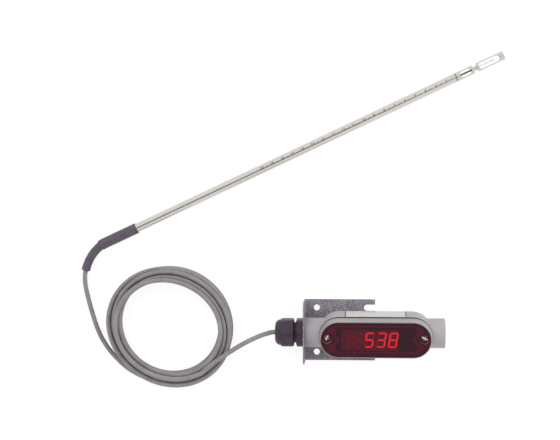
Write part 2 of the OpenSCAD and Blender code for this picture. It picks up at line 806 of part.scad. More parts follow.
// Four wires from the cable's end to the header
module sensor_wires() {
    color([0.75, 0.20, 0.15]) in_housing() for (i = [0 : 3]) {
        from = [sheath_end_x - body_x + loose_gap, (floor(i / 2) * 2 - 1) * sensor_wire_fan,
                (i % 2 * 2 - 1) * sensor_wire_fan];
        to = [header_x - sensor_wire_r, (i - 3 / 2) * sensor_wire_pitch, sensor_wire_z];
        rod_between(from, to, sensor_wire_r);
    }
}
module rod_between(a, b, r) {
    d = b - a;
    translate(a) rotate([0, acos(d[2] / norm(d)), atan2(d[1], d[0])]) cylinder(h = norm(d), r = r);
}
module board_link() {
    color([0.12, 0.12, 0.13]) in_housing() {
        plate_at(link_at[0], link_at[1], main_top, link_size);
        for (i = [0 : link_pins - 1])
            translate([link_at[0] + (i + 1 / 2) * link_size[0] / link_pins, link_at[1] + link_size[1] / 2,
                       main_top])
                cylinder(h = display_z - main_top, r = link_pin_r);
    }
}
module power_converter() {
    color([0.14, 0.14, 0.15]) in_housing()
        plate_at(converter_at[0], converter_at[1], main_top, converter_size);
}
module capacitors() {
    color([0.20, 0.22, 0.35]) in_housing() for (x = capacitor_x)
        translate([x, capacitor_y, main_top]) cylinder(h = capacitor_h, r = capacitor_r);
}
module controller_chip() {
    color([0.12, 0.12, 0.13]) in_housing()
        plate_at(controller_at[0], controller_at[1], main_top, controller_size);
}
module driver_chips() {
    color([0.12, 0.12, 0.13]) in_housing() for (x = driver_x)
        plate_at(x, -driver_size[1] / 2, display_z - driver_size[2], driver_size);
}

// Gland
module gland_body() {
    color([0.16, 0.14, 0.16]) on_gland() difference() {
        union() {
            translate([0, 0, -stem_l]) cylinder(h = stem_l + thread_l, r = stem_r);
            rotate([0, 0, hex_turn]) cylinder(h = hex_l, r = hex_af / 2 / cos(30), $fn = 6);
        }
        translate([0, 0, hex_l]) ring(hex_af, thread_r, thread_l);
        translate([0, 0, -stem_l - over]) cylinder(h = stem_l + thread_l + 2 * over, r = gland_bore_r);
        translate([0, 0, -over]) ring(o_ring_out_r, o_ring_in_r, o_ring_t + over);
    }
}
module gland_o_ring() {
    color([0.08, 0.08, 0.08]) on_gland() ring(o_ring_out_r - turn_gap, o_ring_in_r + turn_gap, o_ring_t);
}
module gland_seal() {
    color([0.25, 0.24, 0.25]) on_gland() difference() {
        union() {
            translate([0, 0, thread_l - seal_in]) cylinder(h = seal_in, r = gland_bore_r - turn_gap);
            translate([0, 0, thread_l]) cylinder(h = claw_l / 2, r = claw_bore_r - turn_gap);
        }
        cylinder(h = thread_l + claw_l, r = cable_r + seal_fit);
    }
}
module gland_claw() {
    color([0.16, 0.14, 0.16]) on_gland() translate([0, 0, thread_l]) difference() {
        cylinder(h = claw_l, r1 = claw_r, r2 = claw_tip_r);
        translate([0, 0, -over]) cylinder(h = claw_l + 2 * over, r = claw_bore_r);
        for (i = [0 : claw_slots - 1]) rotate([0, 0, 360 * i / claw_slots])
            plate_at(0, -claw_slot_w / 2, claw_l / 4, [claw_r + over, claw_slot_w, claw_l]);
    }
}
module gland_nut() {
    color([0.16, 0.14, 0.16]) on_gland() translate([0, 0, hex_l + nut_gap]) difference() {
        intersection() {
            rotate([0, 0, hex_turn]) cylinder(h = nut_l, r = hex_af / 2 / cos(30), $fn = 6);
            rotate_extrude() mirror([0, 1]) pan_profile(nut_round_r(), -nut_l, 0, dome_r);
        }
        translate([0, 0, -over]) cylinder(h = nut_cone_z() + over, r = thread_r + thread_gap);
        translate([0, 0, nut_cone_z()])
            cylinder(h = claw_l, r1 = thread_r + thread_gap, r2 = claw_tip_r + nut_room);
        cylinder(h = nut_l + over, r = nut_hole_r);
    }
}
// The nut's corners are turned down a little, and its cone starts where the thread ends
function nut_round_r() = hex_af / 2 / cos(30) - nut_turned;
function nut_cone_z() = thread_l - hex_l - nut_gap + nut_room;

// Cable
module cable_probe_lead() {
    color([0.52, 0.50, 0.52]) tube(
        concat([boot_end, boot_end + cable_d * exit_dir], probe_route,
               [coil_first - 2 * cable_d * coil_dir(0), coil_first]),
        cable_r, cable_sides, exit_dir, coil_dir(0));
}
module cable_coil() {
    color([0.52, 0.50, 0.52]) tube(coil_path, cable_r, coil_sides, coil_dir(0), coil_dir(coil_turns));
}
module cable_housing_lead() {
    axis_from = flange_out_x - thread_l - claw_l - cable_d;
    color([0.52, 0.50, 0.52]) tube(
        concat([coil_last], gland_route,
               [for (s = [0 : 5]) [axis_from + (sheath_end_x - axis_from) * s / 5, 0, hub_h]]),
        cable_r, cable_sides, coil_dir(coil_turns), [1, 0, 0]);
}

// Boot and the cable's end inside it
module boot_bend(r) {
    translate(boot_back) rotate([0, 0, boot_heading]) translate([0, boot_bend_r, 0]) rotate([0, 0, -90])
        rotate_extrude(angle = boot_bend) translate([boot_bend_r, 0]) circle(r);
}
module heat_shrink_boot() {
    color([0.38, 0.34, 0.40]) difference() {
        union() {
            on_probe() translate([0, 0, -boot_l]) cylinder(h = boot_l, d = boot_d);
            on_probe() translate([0, 0, -boot_l - boot_shoulder])
                cylinder(h = boot_shoulder, d1 = boot_bend_d - boot_gap, d2 = boot_d);
            boot_bend(boot_bend_d / 2);
        }
        on_probe() translate([0, 0, -tube_in]) cylinder(h = tube_in + over, r = tube_root_r + boot_gap);
        on_probe() translate([0, 0, -boot_l - boot_gap]) cylinder(h = boot_l, r = cable_r + boot_gap);
        boot_bend(cable_r + boot_gap);
    }
}
module cable_tail() {
    color([0.52, 0.50, 0.52]) {
        on_probe() translate([0, 0, -boot_l]) cylinder(h = boot_l - tube_in, r = cable_r);
        boot_bend(cable_r);
    }
}

// Probe
module tube_plug() {
    color([0.20, 0.20, 0.22]) on_probe() translate([0, 0, -tube_in])
        cylinder(h = plug_l, r = tube_in_r - spigot_gap);
}
module probe_tube() {
    color([0.80, 0.78, 0.78]) on_probe() {
        ring(tube_r, tube_in_r, tube_out);
        translate([0, 0, -tube_in]) ring(tube_root_r, tube_in_r, tube_in);
    }
}
module probe_wires() {
    color([0.80, 0.25, 0.20]) on_probe() for (i = [0 : probe_wires_n - 1])
        rotate([0, 0, 360 * i / probe_wires_n]) translate([probe_wire_ring, 0, plug_l - tube_in])
            cylinder(h = tube_out - seat_back - plug_l + tube_in, r = probe_wire_r);
}
module seam_ring() {
    color([0.30, 0.26, 0.28]) on_probe() translate([0, 0, tube_out])
        ring(tube_r - ring_sunk, tube_in_r, ring_t);
}
module sensor_seat() {
    color([0.90, 0.88, 0.82]) on_probe() translate([0, 0, tube_out - seat_back])
        cylinder(h = seat_l, r = tube_in_r - spigot_gap);
}
module on_head() {
    on_probe() translate([0, 0, tube_out + ring_t]) children();
}
// A window through the head, square at its near end and round at its far end
module window(from_to, near_round) {
    r = window_w / 2;
    near = from_to[0] + (near_round ? r : 0);
    rotate([0, -90, 0]) translate([0, 0, -tube_r - over]) linear_extrude(2 * (tube_r + over)) {
        translate([near, -r]) square([from_to[1] - r - near, window_w]);
        translate([from_to[1] - r, 0]) circle(r);
        if (near_round) translate([near, 0]) circle(r);
    }
}
module tip_body() {
    color([0.82, 0.80, 0.79]) on_head() difference() {
        union() {
            translate([0, 0, -ring_t - spigot_l])
                cylinder(h = spigot_l + ring_t + over, r = tube_in_r - spigot_gap);
            cylinder(h = head_1_end, r = tube_r);
            cylinder(h = window_2[0], d = neck_d);
            translate([0, 0, head_1_end + neck_l])
                cylinder(h = head_l - head_1_end - neck_l - head_end_chamfer, r = tube_r);
            translate([0, 0, head_l - head_end_chamfer])
                cylinder(h = head_end_chamfer, r1 = tube_r, r2 = tube_r - head_end_chamfer);
        }
        window(window_1, true);
        window(window_2, true);
        translate([0, 0, -ring_t - spigot_l - over]) cylinder(h = spigot_l + window_1[1], r = lead_bore_r);
        cylinder(h = window_2[1] - window_w, r = neck_bore_r);
    }
}
module temperature_sensor() {
    color([0.22, 0.27, 0.25]) on_head() {
        translate([0, 0, window_1[0]]) cylinder(h = window_1[1] - window_1[0] - turn_gap, r = rod_r);
        translate([0, 0, window_1[0] - rod_bead_l]) cylinder(h = rod_bead_l, r = rod_bead_r);
    }
}
module velocity_sensor() {
    color([0.80, 0.80, 0.82]) on_head() translate([0, 0, window_2[0] - over]) {
        cylinder(h = film_l, r = film_r);
        translate([0, 0, film_l - film_bead_l]) cylinder(h = film_bead_l, r = film_bead_r);
    }
}

mounting_bracket();
conduit_body();
rating_label();
body_gasket();
ground_screw();
cover_bezel();
lens_gasket();
display_mask();
lens_window();
cover_screws();
lower_standoffs();
main_board();
upper_standoffs();
display_board();
board_screws();
led_display();
lit_segments();
dim_segments();
switch_bases();
button_set();
button_up();
button_down();
terminal_block();
terminal_screws();
cable_header();
sensor_wires();
board_link();
power_converter();
capacitors();
controller_chip();
driver_chips();
gland_body();
gland_o_ring();
gland_seal();
gland_claw();
gland_nut();
cable_probe_lead();
cable_coil();
cable_housing_lead();
heat_shrink_boot();
cable_tail();
tube_plug();
probe_tube();
probe_wires();
seam_ring();
sensor_seat();
tip_body();
temperature_sensor();
velocity_sensor();
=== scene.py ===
from math import ceil, cos, floor, hypot, pi, radians, sin

import bmesh
import bpy
from mathutils import Matrix, Vector


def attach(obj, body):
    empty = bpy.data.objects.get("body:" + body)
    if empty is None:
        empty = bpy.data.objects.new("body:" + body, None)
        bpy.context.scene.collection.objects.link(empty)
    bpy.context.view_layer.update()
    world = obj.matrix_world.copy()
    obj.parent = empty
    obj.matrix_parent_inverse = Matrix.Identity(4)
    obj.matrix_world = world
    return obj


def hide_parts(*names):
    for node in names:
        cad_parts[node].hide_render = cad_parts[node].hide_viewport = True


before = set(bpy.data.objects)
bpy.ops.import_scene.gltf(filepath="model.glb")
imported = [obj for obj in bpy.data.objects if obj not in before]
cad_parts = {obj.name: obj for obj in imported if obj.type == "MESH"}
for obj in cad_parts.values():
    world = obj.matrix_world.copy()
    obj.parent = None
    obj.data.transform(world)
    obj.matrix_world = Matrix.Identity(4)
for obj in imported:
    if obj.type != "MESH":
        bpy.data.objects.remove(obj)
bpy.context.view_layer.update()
scene = bpy.context.scene

# Places that several sections share. Lengths are in millimetres, and the frames below turn them into metres
MM = Matrix.Scale(0.001, 4)
HUB_H = 21.2
HOUSING_ROLL = radians(8)
BODY_X = 29.75
FLANGE_X = -33.75
SCREW_X = 42.5
PROBE_ANGLE = radians(25.2)
PROBE_WAY = Vector((cos(PROBE_ANGLE), sin(PROBE_ANGLE), 0))
PROBE_AT = Vector((-184.6, 91.2, 4.8))


def moved(x, y, z):
    return Matrix.Translation((x, y, z))


HOUSING = MM @ moved(0, 0, HUB_H) @ Matrix.Rotation(HOUSING_ROLL, 4, "X") @ moved(BODY_X, 0, 0)
GLAND = MM @ moved(FLANGE_X, 0, HUB_H) @ Matrix.Rotation(radians(-90), 4, "Y")
PROBE = (MM @ Matrix.Translation(PROBE_AT) @ Matrix.Rotation(PROBE_ANGLE, 4, "Z")
         @ Matrix.Rotation(radians(90), 4, "Y"))


# Camera, placed in metres

CAMERA_AT = Vector((0.0103, 0.1501, 1.1853))
CAMERA_AIM = Vector((-0.05574, 0.09853, 0))


def look(eye, at):
    """The place of a camera or lamp that stands at eye, looks at a point and keeps +Y up in its picture."""
    back = (eye - at).normalized()
    right = Vector((0, 1, 0)).cross(back).normalized()
    up = back.cross(right)
    turn = Matrix((right, up, back)).transposed().to_4x4()
    return Matrix.Translation(eye) @ turn


camera_data = bpy.data.cameras.new("camera")
camera_data.lens = 84.99
camera_data.sensor_width = 36
camera_data.clip_start = 0.01
camera = bpy.data.objects.new("camera", camera_data)
scene.collection.objects.link(camera)
camera.matrix_world = look(CAMERA_AT, CAMERA_AIM)
scene.camera = camera


# Materials

def rgb(*levels):
    """A colour from its 0-255 display levels."""
    parts = [v / 255 for v in levels]
    return tuple(((c + 0.055) / 1.055) ** 2.4 if c > 0.04 else c / 12.92 for c in parts) + (1,)


def scaled(colour, share):
    """A colour made darker or lighter by a factor."""
    return tuple(c * share for c in colour[:3]) + (1,)


class Finish:
    """A node material laid out over the whole object. Its sizes and depths are given in millimetres."""

    def __init__(self, name, colour, roughness, metallic=0.0, **sockets):
        self.made = bpy.data.materials.new(name)
        self.made.use_nodes = True
        self.tree = self.made.node_tree
        self.shader = self.tree.nodes["Principled BSDF"]
        self.shader.inputs["Base Color"].default_value = colour
        self.shader.inputs["Roughness"].default_value = roughness
        self.shader.inputs["Metallic"].default_value = metallic
        for socket, value in sockets.items():
            self.shader.inputs[socket.replace("_", " ")].default_value = value
        self.colour = colour
        self.at = self.node("ShaderNodeTexCoord").outputs["Object"]

    def node(self, kind, **values):
        made = self.tree.nodes.new(kind)
        for key, value in values.items():
            setattr(made, key, value)
        return made

    def link(self, source, socket):
        self.tree.links.new(source, socket)

    def feed(self, socket, value):
        """Sets a socket to a plain value, or links another node's output to it."""
        if isinstance(value, (int, float, tuple)):
            socket.default_value = value
        else:
            self.link(value, socket)

    def stretched(self, x, y, z, turn=0.0):
        """Texture places turned about Z, then squeezed, so that a pattern runs along one direction."""
        turned = self.node("ShaderNodeMapping")
        turned.inputs["Rotation"].default_value = (0, 0, -turn)
        self.link(self.at, turned.inputs["Vector"])
        squeezed = self.node("ShaderNodeMapping")
        squeezed.inputs["Scale"].default_value = (x, y, z)
        self.link(turned.outputs[0], squeezed.inputs["Vector"])
        return squeezed.outputs[0]

    def noise(self, size, detail=3.0, at=None):
        """Soft noise whose blobs measure about size millimetres."""
        made = self.node("ShaderNodeTexNoise")
        made.inputs["Scale"].default_value = 1000 / size
        made.inputs["Detail"].default_value = detail
        made.inputs["Roughness"].default_value = 0.55
        self.link(at or self.at, made.inputs["Vector"])
        return made.outputs["Fac"]

    def cells(self, size, at, output):
        """Sharp-edged cells that measure about size millimetres."""
        made = self.node("ShaderNodeTexVoronoi")
        made.inputs["Scale"].default_value = 1000 / size
        self.link(at, made.inputs["Vector"])
        return made.outputs[output]

    def ramp(self, value, *stops):
        """Colours laid along a pattern's values, from (value, colour) pairs."""
        made = self.node("ShaderNodeValToRGB")
        points = made.color_ramp.elements
        while len(points) < len(stops):
            points.new(0.5)
        for point, (at, colour) in zip(points, stops):
            point.position = at
            point.color = colour
        self.link(value, made.inputs["Fac"])
        return made.outputs["Color"]

    def span(self, value, low, high, to_low, to_high):
        """A value taken from one range to another and held at its ends."""
        made = self.node("ShaderNodeMapRange")
        ends = {"From Min": low, "From Max": high, "To Min": to_low, "To Max": to_high}
        for socket, number in ends.items():
            made.inputs[socket].default_value = number
        self.link(value, made.inputs["Value"])
        return made.outputs["Result"]

    def maths(self, operation, *values):
        made = self.node("ShaderNodeMath", operation=operation)
        for socket, value in zip(made.inputs, values):
            self.feed(socket, value)
        return made.outputs[0]

    def vector(self, operation, a, b):
        """A vector sum, such as SUBTRACT, of a node's output and a plain vector."""
        made = self.node("ShaderNodeVectorMath", operation=operation)
        self.link(a, made.inputs[0])
        made.inputs[1].default_value = b
        return made

    def blend(self, factor, a, b, kind="MIX"):
        made = self.node("ShaderNodeMix", data_type="RGBA", blend_type=kind)
        for number, value in zip((0, 6, 7), (factor, a, b)):
            self.feed(made.inputs[number], value)
        return made.outputs[2]

    def tint(self, colour):
        self.link(colour, self.shader.inputs["Base Color"])

    def gloss(self, value, low, high):
        """Roughness that runs between two values with a pattern."""
        self.link(self.span(value, 0.3, 0.7, low, high), self.shader.inputs["Roughness"])

    def bump(self, height, depth):
        """Relief on top of any earlier relief, with its depth in millimetres."""
        made = self.node("ShaderNodeBump")
        made.inputs["Distance"].default_value = depth / 1000
        self.link(height, made.inputs["Height"])
        earlier = self.shader.inputs["Normal"].links
        if earlier:
            self.link(earlier[0].from_socket, made.inputs["Normal"])
        self.link(made.outputs["Normal"], self.shader.inputs["Normal"])
        return self

    def mottled(self, size, light, dark):
        """Colour that drifts between a darker and a lighter level."""
        self.tint(self.ramp(self.noise(size), (0.3, scaled(self.colour, dark)),
                            (0.7, scaled(self.colour, light))))


def galvanised():
    """Zinc spangle: flat crystals with bent edges, each with its own shade, gloss and height."""
    f = Finish("zinc_sheet", rgb(158, 149, 161), 0.42, 0.2)
    swirl_size, swirl_share = 2.5, 0.0016
    swirl = f.node("ShaderNodeTexNoise")
    swirl.inputs["Scale"].default_value = 1000 / swirl_size
    f.link(f.at, swirl.inputs["Vector"])
    bent = f.blend(swirl_share, f.at, swirl.outputs["Color"], "LINEAR_LIGHT")
    crystal = f.node("ShaderNodeSeparateColor")
    f.link(f.cells(1.05, bent, "Color"), crystal.inputs[0])
    grains = f.blend(0.35, crystal.outputs[0], f.noise(0.6, 4))
    f.tint(f.ramp(grains, (0.15, rgb(117, 107, 119)), (0.5, rgb(147, 138, 149)), (0.9, rgb(180, 173, 181))))
    f.gloss(crystal.outputs[1], 0.38, 0.56)
    f.bump(crystal.outputs[0], 0.02).bump(f.noise(0.35), 0.01)
    return f.made


def satin_paint(name, colour, grain):
    """Paint on a casting, whose grains measure about grain millimetres."""
    f = Finish(name, colour, 0.5, 0.15)
    f.mottled(9, 1.05, 0.95)
    f.gloss(f.noise(1.5), 0.46, 0.58)
    f.bump(f.noise(grain, 2), 0.03).bump(f.noise(0.15, 2), 0.008)
    return f


# Painted shade: the floor of the cover's two screw wells is painted dark red, for the shade in them and the
# red light through the lens. It fades out between these radii and heights, in metres
WELL_SHADE_R = (0.00445, 0.0046)
WELL_SHADE_H = (0.0168, 0.0175)


def cover_paint():
    """Satin paint, with painted shade: a dark red floor painted into the two wells of the screws."""
    f = satin_paint("cover_paint", rgb(170, 164, 165), 0.5)
    apart = f.vector("SUBTRACT", f.at, HOUSING.translation).outputs[0]
    x, y, z = [f.vector("DOT_PRODUCT", apart, axis.normalized()).outputs["Value"]
               for axis in HOUSING.to_3x3().col]
    off = f.maths("SUBTRACT", f.maths("ABSOLUTE", x), SCREW_X / 1000)
    squares = f.maths("ADD", f.maths("MULTIPLY", off, off), f.maths("MULTIPLY", y, y))
    # Painted shade: 1 on the wells' floor, where dark red stands in for the shade and the red light through
    # the lens
    painted_shade_share = f.maths("MULTIPLY", f.span(f.maths("SQRT", squares), *WELL_SHADE_R, 1, 0),
                          f.span(z, *WELL_SHADE_H, 1, 0))
    paint = f.shader.inputs["Base Color"].links[0].from_socket
    f.tint(f.blend(painted_shade_share, paint, rgb(140, 48, 68)))
    return f.made


def moulded(name, colour, roughness, grain, depth, drift=6, **sockets):
    """Plastic or rubber with a fine grain and a colour that drifts over longer places."""
    f = Finish(name, colour, roughness, **sockets)
    f.mottled(drift, 1.12, 0.88)
    f.gloss(f.noise(grain * 3), roughness - 0.07, roughness + 0.08)
    f.bump(f.noise(grain, 3), depth)
    return f.made


def metal(name, colour, roughness):
    f = Finish(name, colour, roughness, 1.0)
    grain = f.noise(0.25, 4)
    f.tint(f.ramp(grain, (0.25, scaled(colour, 0.96)), (0.75, colour)))
    f.gloss(f.noise(2.5), roughness - 0.04, roughness + 0.05)
    f.bump(grain, 0.004)
    return f.made


def steel_tube():
    """Bright steel with the fine lines of its drawing along the probe."""
    f = Finish("probe_steel", rgb(214, 210, 204), 0.27, 1.0)
    drawn = f.noise(0.5, 3, at=f.stretched(0.03, 1, 1, PROBE_ANGLE))
    f.tint(f.ramp(drawn, (0.25, rgb(207, 203, 196)), (0.75, rgb(220, 217, 211))))
    f.gloss(f.noise(8, 4), 0.24, 0.3)
    f.bump(drawn, 0.0008)
    return f.made


def board_green():
    """Green lacquer over raised tracks."""
    f = Finish("board_green", rgb(28, 96, 62), 0.35, Coat_Weight=0.4)
    tracks = f.cells(2.2, f.stretched(1, 0.45, 1), "Distance")
    f.tint(f.ramp(tracks, (0.28, rgb(22, 84, 54)), (0.34, rgb(40, 122, 78)), (0.42, rgb(24, 92, 60))))
    f.bump(tracks, 0.02).bump(f.noise(0.3), 0.006)
    return f.made


def cable_jacket():
    f = Finish("cable_grey", rgb(146, 140, 143), 0.48, Specular_IOR_Level=0.35)
    f.tint(f.ramp(f.noise(14, 4), (0.3, rgb(137, 131, 136)), (0.7, rgb(156, 151, 152))))
    f.gloss(f.noise(5), 0.4, 0.56)
    f.bump(f.noise(1.1, 3), 0.05).bump(f.noise(0.2), 0.01)
    return f.made


def boot_sleeve():
    f = Finish("boot_sleeve", rgb(92, 80, 95), 0.5)
    f.tint(f.ramp(f.noise(7, 4), (0.3, rgb(82, 71, 86)), (0.7, rgb(101, 89, 104))))
    ribs = f.noise(1.6, 3, at=f.stretched(0.35, 1, 1, PROBE_ANGLE))
    f.gloss(f.noise(2.5), 0.42, 0.6)
    f.bump(ribs, 0.08).bump(f.noise(0.3, 3), 0.015)
    return f.made


def lens_glass():
    f = Finish("red_lens", rgb(198, 50, 92), 0.0, IOR=1.36, Transmission_Weight=1.0,
               Specular_Tint=(0.76, 0.76, 1.0, 1))
    f.tint(f.ramp(f.noise(30), (0.3, rgb(195, 48, 89)), (0.7, rgb(201, 52, 95))))
    f.gloss(f.noise(6), 0.0, 0.012)
    return f.made


def glow(name, colour, strength, base):
    f = Finish(name, base, 0.4)
    f.mottled(3, 1.05, 0.95)
    f.shader.inputs["Emission Color"].default_value = colour
    f.shader.inputs["Emission Strength"].default_value = strength
    f.bump(f.noise(0.4), 0.005)
    return f.made


def label_paper():
    f = Finish("label_white", rgb(212, 210, 206), 0.45, Coat_Weight=0.2)
    f.tint(f.ramp(f.noise(5, 4), (0.3, rgb(197, 195, 188)), (0.7, rgb(210, 208, 203))))
    f.gloss(f.noise(2), 0.38, 0.52)
    f.bump(f.noise(0.5), 0.01)
    return f.made


FINISHES = {
    "zinc_sheet": galvanised(),
    "cast_paint": satin_paint("cast_paint", rgb(177, 172, 175), 0.6).made,
    "cover_paint": cover_paint(),
    "label_white": label_paper(),
    "red_lens": lens_glass(),
    "bright_steel": metal("bright_steel", rgb(236, 234, 234), 0.16),
    "brass_posts": metal("brass_posts", rgb(205, 176, 104), 0.28),
    "head_steel": metal("head_steel", rgb(216, 213, 207), 0.46),
    "probe_steel": steel_tube(),
    "board_green": board_green(),
    "led_lit": glow("led_lit", rgb(255, 140, 95), 1.05, rgb(255, 96, 70)),
    "black_nylon": moulded("black_nylon", rgb(65, 53, 66), 0.36, 0.5, 0.012, 8, Specular_IOR_Level=0.3),
    "cable_grey": cable_jacket(),
    "boot_sleeve": boot_sleeve(),
}

# Plainer plastics, rubbers and inks: colour, roughness, grain, its depth, and the length of the drift
MOULDED = {
    "black_rubber": (rgb(58, 44, 60), 0.6, 0.5, 0.02),
    "mask_black": (rgb(84, 36, 112), 0.55, 0.5, 0.006),
    "field_black": (rgb(48, 26, 104), 0.55, 0.5, 0.004),
    "display_case": (rgb(140, 44, 88), 0.5, 0.6, 0.006),
    "led_dim": (rgb(186, 62, 92), 0.5, 0.5, 0.006, 3),
    "black_plastic": (rgb(42, 41, 44), 0.5, 0.4, 0.015),
    "key_plastic": (rgb(196, 64, 44), 0.4, 0.4, 0.01),
    "terminal_green": (rgb(50, 128, 84), 0.42, 0.4, 0.015),
    "header_ivory": (rgb(226, 220, 200), 0.45, 0.4, 0.01),
    "wire_sheath": (rgb(178, 48, 40), 0.42, 0.4, 0.01),
    "capacitor_can": (rgb(52, 56, 92), 0.3, 0.6, 0.01),
    "dark_ring": (rgb(98, 84, 92), 0.5, 0.5, 0.01),
    "ceramic": (rgb(222, 216, 204), 0.5, 0.3, 0.01),
    "dark_sensor": (rgb(88, 94, 88), 0.4, 0.5, 0.02, 3),
    "film_sensor": (rgb(246, 244, 243), 0.3, 0.5, 0.01, 3),
    "scale_ink": (rgb(84, 58, 62), 0.6, 0.3, 0.002),
    "print_red": (rgb(196, 48, 74), 0.6, 0.4, 0.002),
    "label_edge": (rgb(96, 78, 92), 0.6, 0.4, 0.01),
}
for name, values in MOULDED.items():
    FINISHES[name] = moulded(name, *values)


# Making and placing pieces

def piece(name, mesh, body, finish, replaces=(), crease=35):
    """Puts a mesh in the scene on its body, with its finishes, and hides the CAD parts that it replaces."""
    names = (finish,) if isinstance(finish, str) else finish
    for key in names:
        mesh.materials.append(FINISHES[key])
    for face in mesh.polygons:
        face.use_smooth = True
    mesh.set_sharp_from_angle(angle=radians(crease))
    made = bpy.data.objects.new(name, mesh)
    scene.collection.objects.link(made)
    level = made.modifiers.new("level", "WEIGHTED_NORMAL")
    level.weight = 90
    level.keep_sharp = True
    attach(made, body)
    if replaces:
        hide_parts(*replaces)
    return made


def mesh_of(bm, place):
    """A mesh from bm, put in its place with its faces outwards. It uses bm up."""
    bmesh.ops.recalc_face_normals(bm, faces=bm.faces)
    made = bpy.data.meshes.new("mesh")
    bm.to_mesh(made)
    bm.free()
    made.transform(place)
    if place.determinant() < 0:
        made.flip_normals()
    return made


def joined(*meshes):
    """One mesh of several, each with its own finish number."""
    bm = bmesh.new()
    for number, mesh in enumerate(meshes):
        before = len(bm.faces)
        bm.from_mesh(mesh)
        bm.faces.ensure_lookup_table()
        for face in bm.faces[before:]:
            face.material_index = number
    made = bpy.data.meshes.new("joined")
    bm.to_mesh(made)
    bm.free()
    return made


def cut(mesh, tool):
    """The first mesh with the second taken out of it."""
    holders = []
    for data in (mesh, tool):
        holders.append(bpy.data.objects.new("cut", data))
        scene.collection.objects.link(holders[-1])
    change = holders[0].modifiers.new("cut", "BOOLEAN")
    change.object = holders[1]
    change.solver = "EXACT"
    bpy.context.view_layer.update()
    made = bpy.data.meshes.new_from_object(holders[0].evaluated_get(bpy.context.evaluated_depsgraph_get()))
    for holder in holders:
        bpy.data.objects.remove(holder)
    return made


def add_ring(bm, points):
    return [bm.verts.new(p) for p in points]


def bridge(bm, rings, closed=False):
    """Quads between rings that have the same number of points."""
    pairs = list(zip(rings, rings[1:])) + ([(rings[-1], rings[0])] if closed else [])
    for a, b in pairs:
        n = len(a)
        for i in range(n):
            bm.faces.new((a[i], a[(i + 1) % n], b[(i + 1) % n], b[i]))


def capped(bm, rings):
    """Rings bridged into one closed body, with a face at each end."""
    bridge(bm, rings)
    bm.faces.new(rings[0])
    bm.faces.new(rings[-1])


def turned_rings(bm, rows, n, start=0.0, reach=None):
    """Rings about local Z from (radius, height) pairs. reach changes a radius with the angle."""
    rings = []
    for r, z in rows:
        points = []
        for k in range(n):
            a = start + 2 * pi * k / n
            q = reach(r, a) if reach else r
            points.append((q * cos(a), q * sin(a), z))
        rings.append(add_ring(bm, points))
    return rings


def swept(path, radius, sides):
    """A tube along points, closed at both ends. Its radius is a function of the way along and the angle."""
    bm = bmesh.new()
    rings = []
    travelled = 0.0
    for i, p in enumerate(path):
        before, after = path[max(i - 1, 0)], path[min(i + 1, len(path) - 1)]
        way = (after - before).normalized()
        side = way.cross(Vector((0, 0, 1))).normalized()
        up = side.cross(way)
        if i:
            travelled += (p - path[i - 1]).length
        angles = [2 * pi * k / sides for k in range(sides)]
        points = [p + radius(travelled, a) * (cos(a) * side + sin(a) * up) for a in angles]
        rings.append(add_ring(bm, points))
    capped(bm, rings)
    return mesh_of(bm, MM)


def loop(cx, cy, rx, ry, start, end, n=14):
    """Points along part of an ellipse, between two angles in degrees."""
    return [(cx + rx * cos(radians(start + (end - start) * k / n)),
             cy + ry * sin(radians(start + (end - start) * k / n))) for k in range(n + 1)]


def arc(cx, cy, r, start, end, n=24):
    return loop(cx, cy, r, r, start, end, n)


def disc(x, y, r, n=40):
    return arc(x, y, r, 0, 360, n)[:-1]


def stadium(span, r):
    """The outline of two half circles of radius r, their centres span apart, and the lines between them."""
    return arc(span / 2, 0, r, -90, 90) + arc(-span / 2, 0, r, 90, 270)


def rectangle(x, y, w, h):
    return [(x - w / 2, y - h / 2), (x + w / 2, y - h / 2), (x + w / 2, y + h / 2), (x - w / 2, y + h / 2)]


def sheet(outlines, low, high, edge, place):
    """A flat plate with holes, its edges rounded, from closed outlines in local XY."""
    curve = bpy.data.curves.new("outline", "CURVE")
    curve.dimensions = "2D"
    curve.fill_mode = "BOTH"
    curve.extrude = (high - low) / 2 - edge
    curve.bevel_depth = edge
    curve.bevel_resolution = 2
    curve.offset = -edge
    for outline in outlines:
        spline = curve.splines.new("POLY")
        spline.points.add(len(outline) - 1)
        for point, (x, y) in zip(spline.points, outline):
            point.co = (x, y, 0, 1)
        spline.use_cyclic_u = True
    holder = bpy.data.objects.new("outline", curve)
    scene.collection.objects.link(holder)
    bpy.context.view_layer.update()
    raw = bpy.data.meshes.new_from_object(holder.evaluated_get(bpy.context.evaluated_depsgraph_get()))
    bm = bmesh.new()
    bm.from_mesh(raw)
    bmesh.ops.remove_doubles(bm, verts=bm.verts, dist=0.001)
    bpy.data.objects.remove(holder)
    bpy.data.curves.remove(curve)
    bpy.data.meshes.remove(raw)
    return mesh_of(bm, place @ moved(0, 0, (low + high) / 2))


def ease(x):
    """A soft step from 0 to 1 while x runs from 0 to 1."""
    c = max(0.0, min(1.0, x))
    return c * c * (3 - 2 * c)


# Cable: out of the boot, round the coil, and in through the gland

CABLE_R = 2.1
CABLE_D = 2 * CABLE_R
# The boot runs straight on from the tube for BOOT_LONG. Its bend starts 9 degrees off the tube's line
BOOT_LONG = 34.0
BOOT_BEND_R = 37.8
BOOT_BEND = 45
BOOT_HEADING = PROBE_ANGLE + radians(180 + 9)
EXIT_HEADING = BOOT_HEADING + radians(BOOT_BEND)
BOOT_CORNER = PROBE_AT - BOOT_LONG * PROBE_WAY


def boot_bend(degrees):
    """The middle of the boot after so much of its bend."""
    a = BOOT_HEADING + radians(degrees)
    return BOOT_CORNER + BOOT_BEND_R * Vector((sin(a) - sin(BOOT_HEADING), cos(BOOT_HEADING) - cos(a), 0))


boot_end = boot_bend(BOOT_BEND)
exit_way = Vector((cos(EXIT_HEADING), sin(EXIT_HEADING), 0))

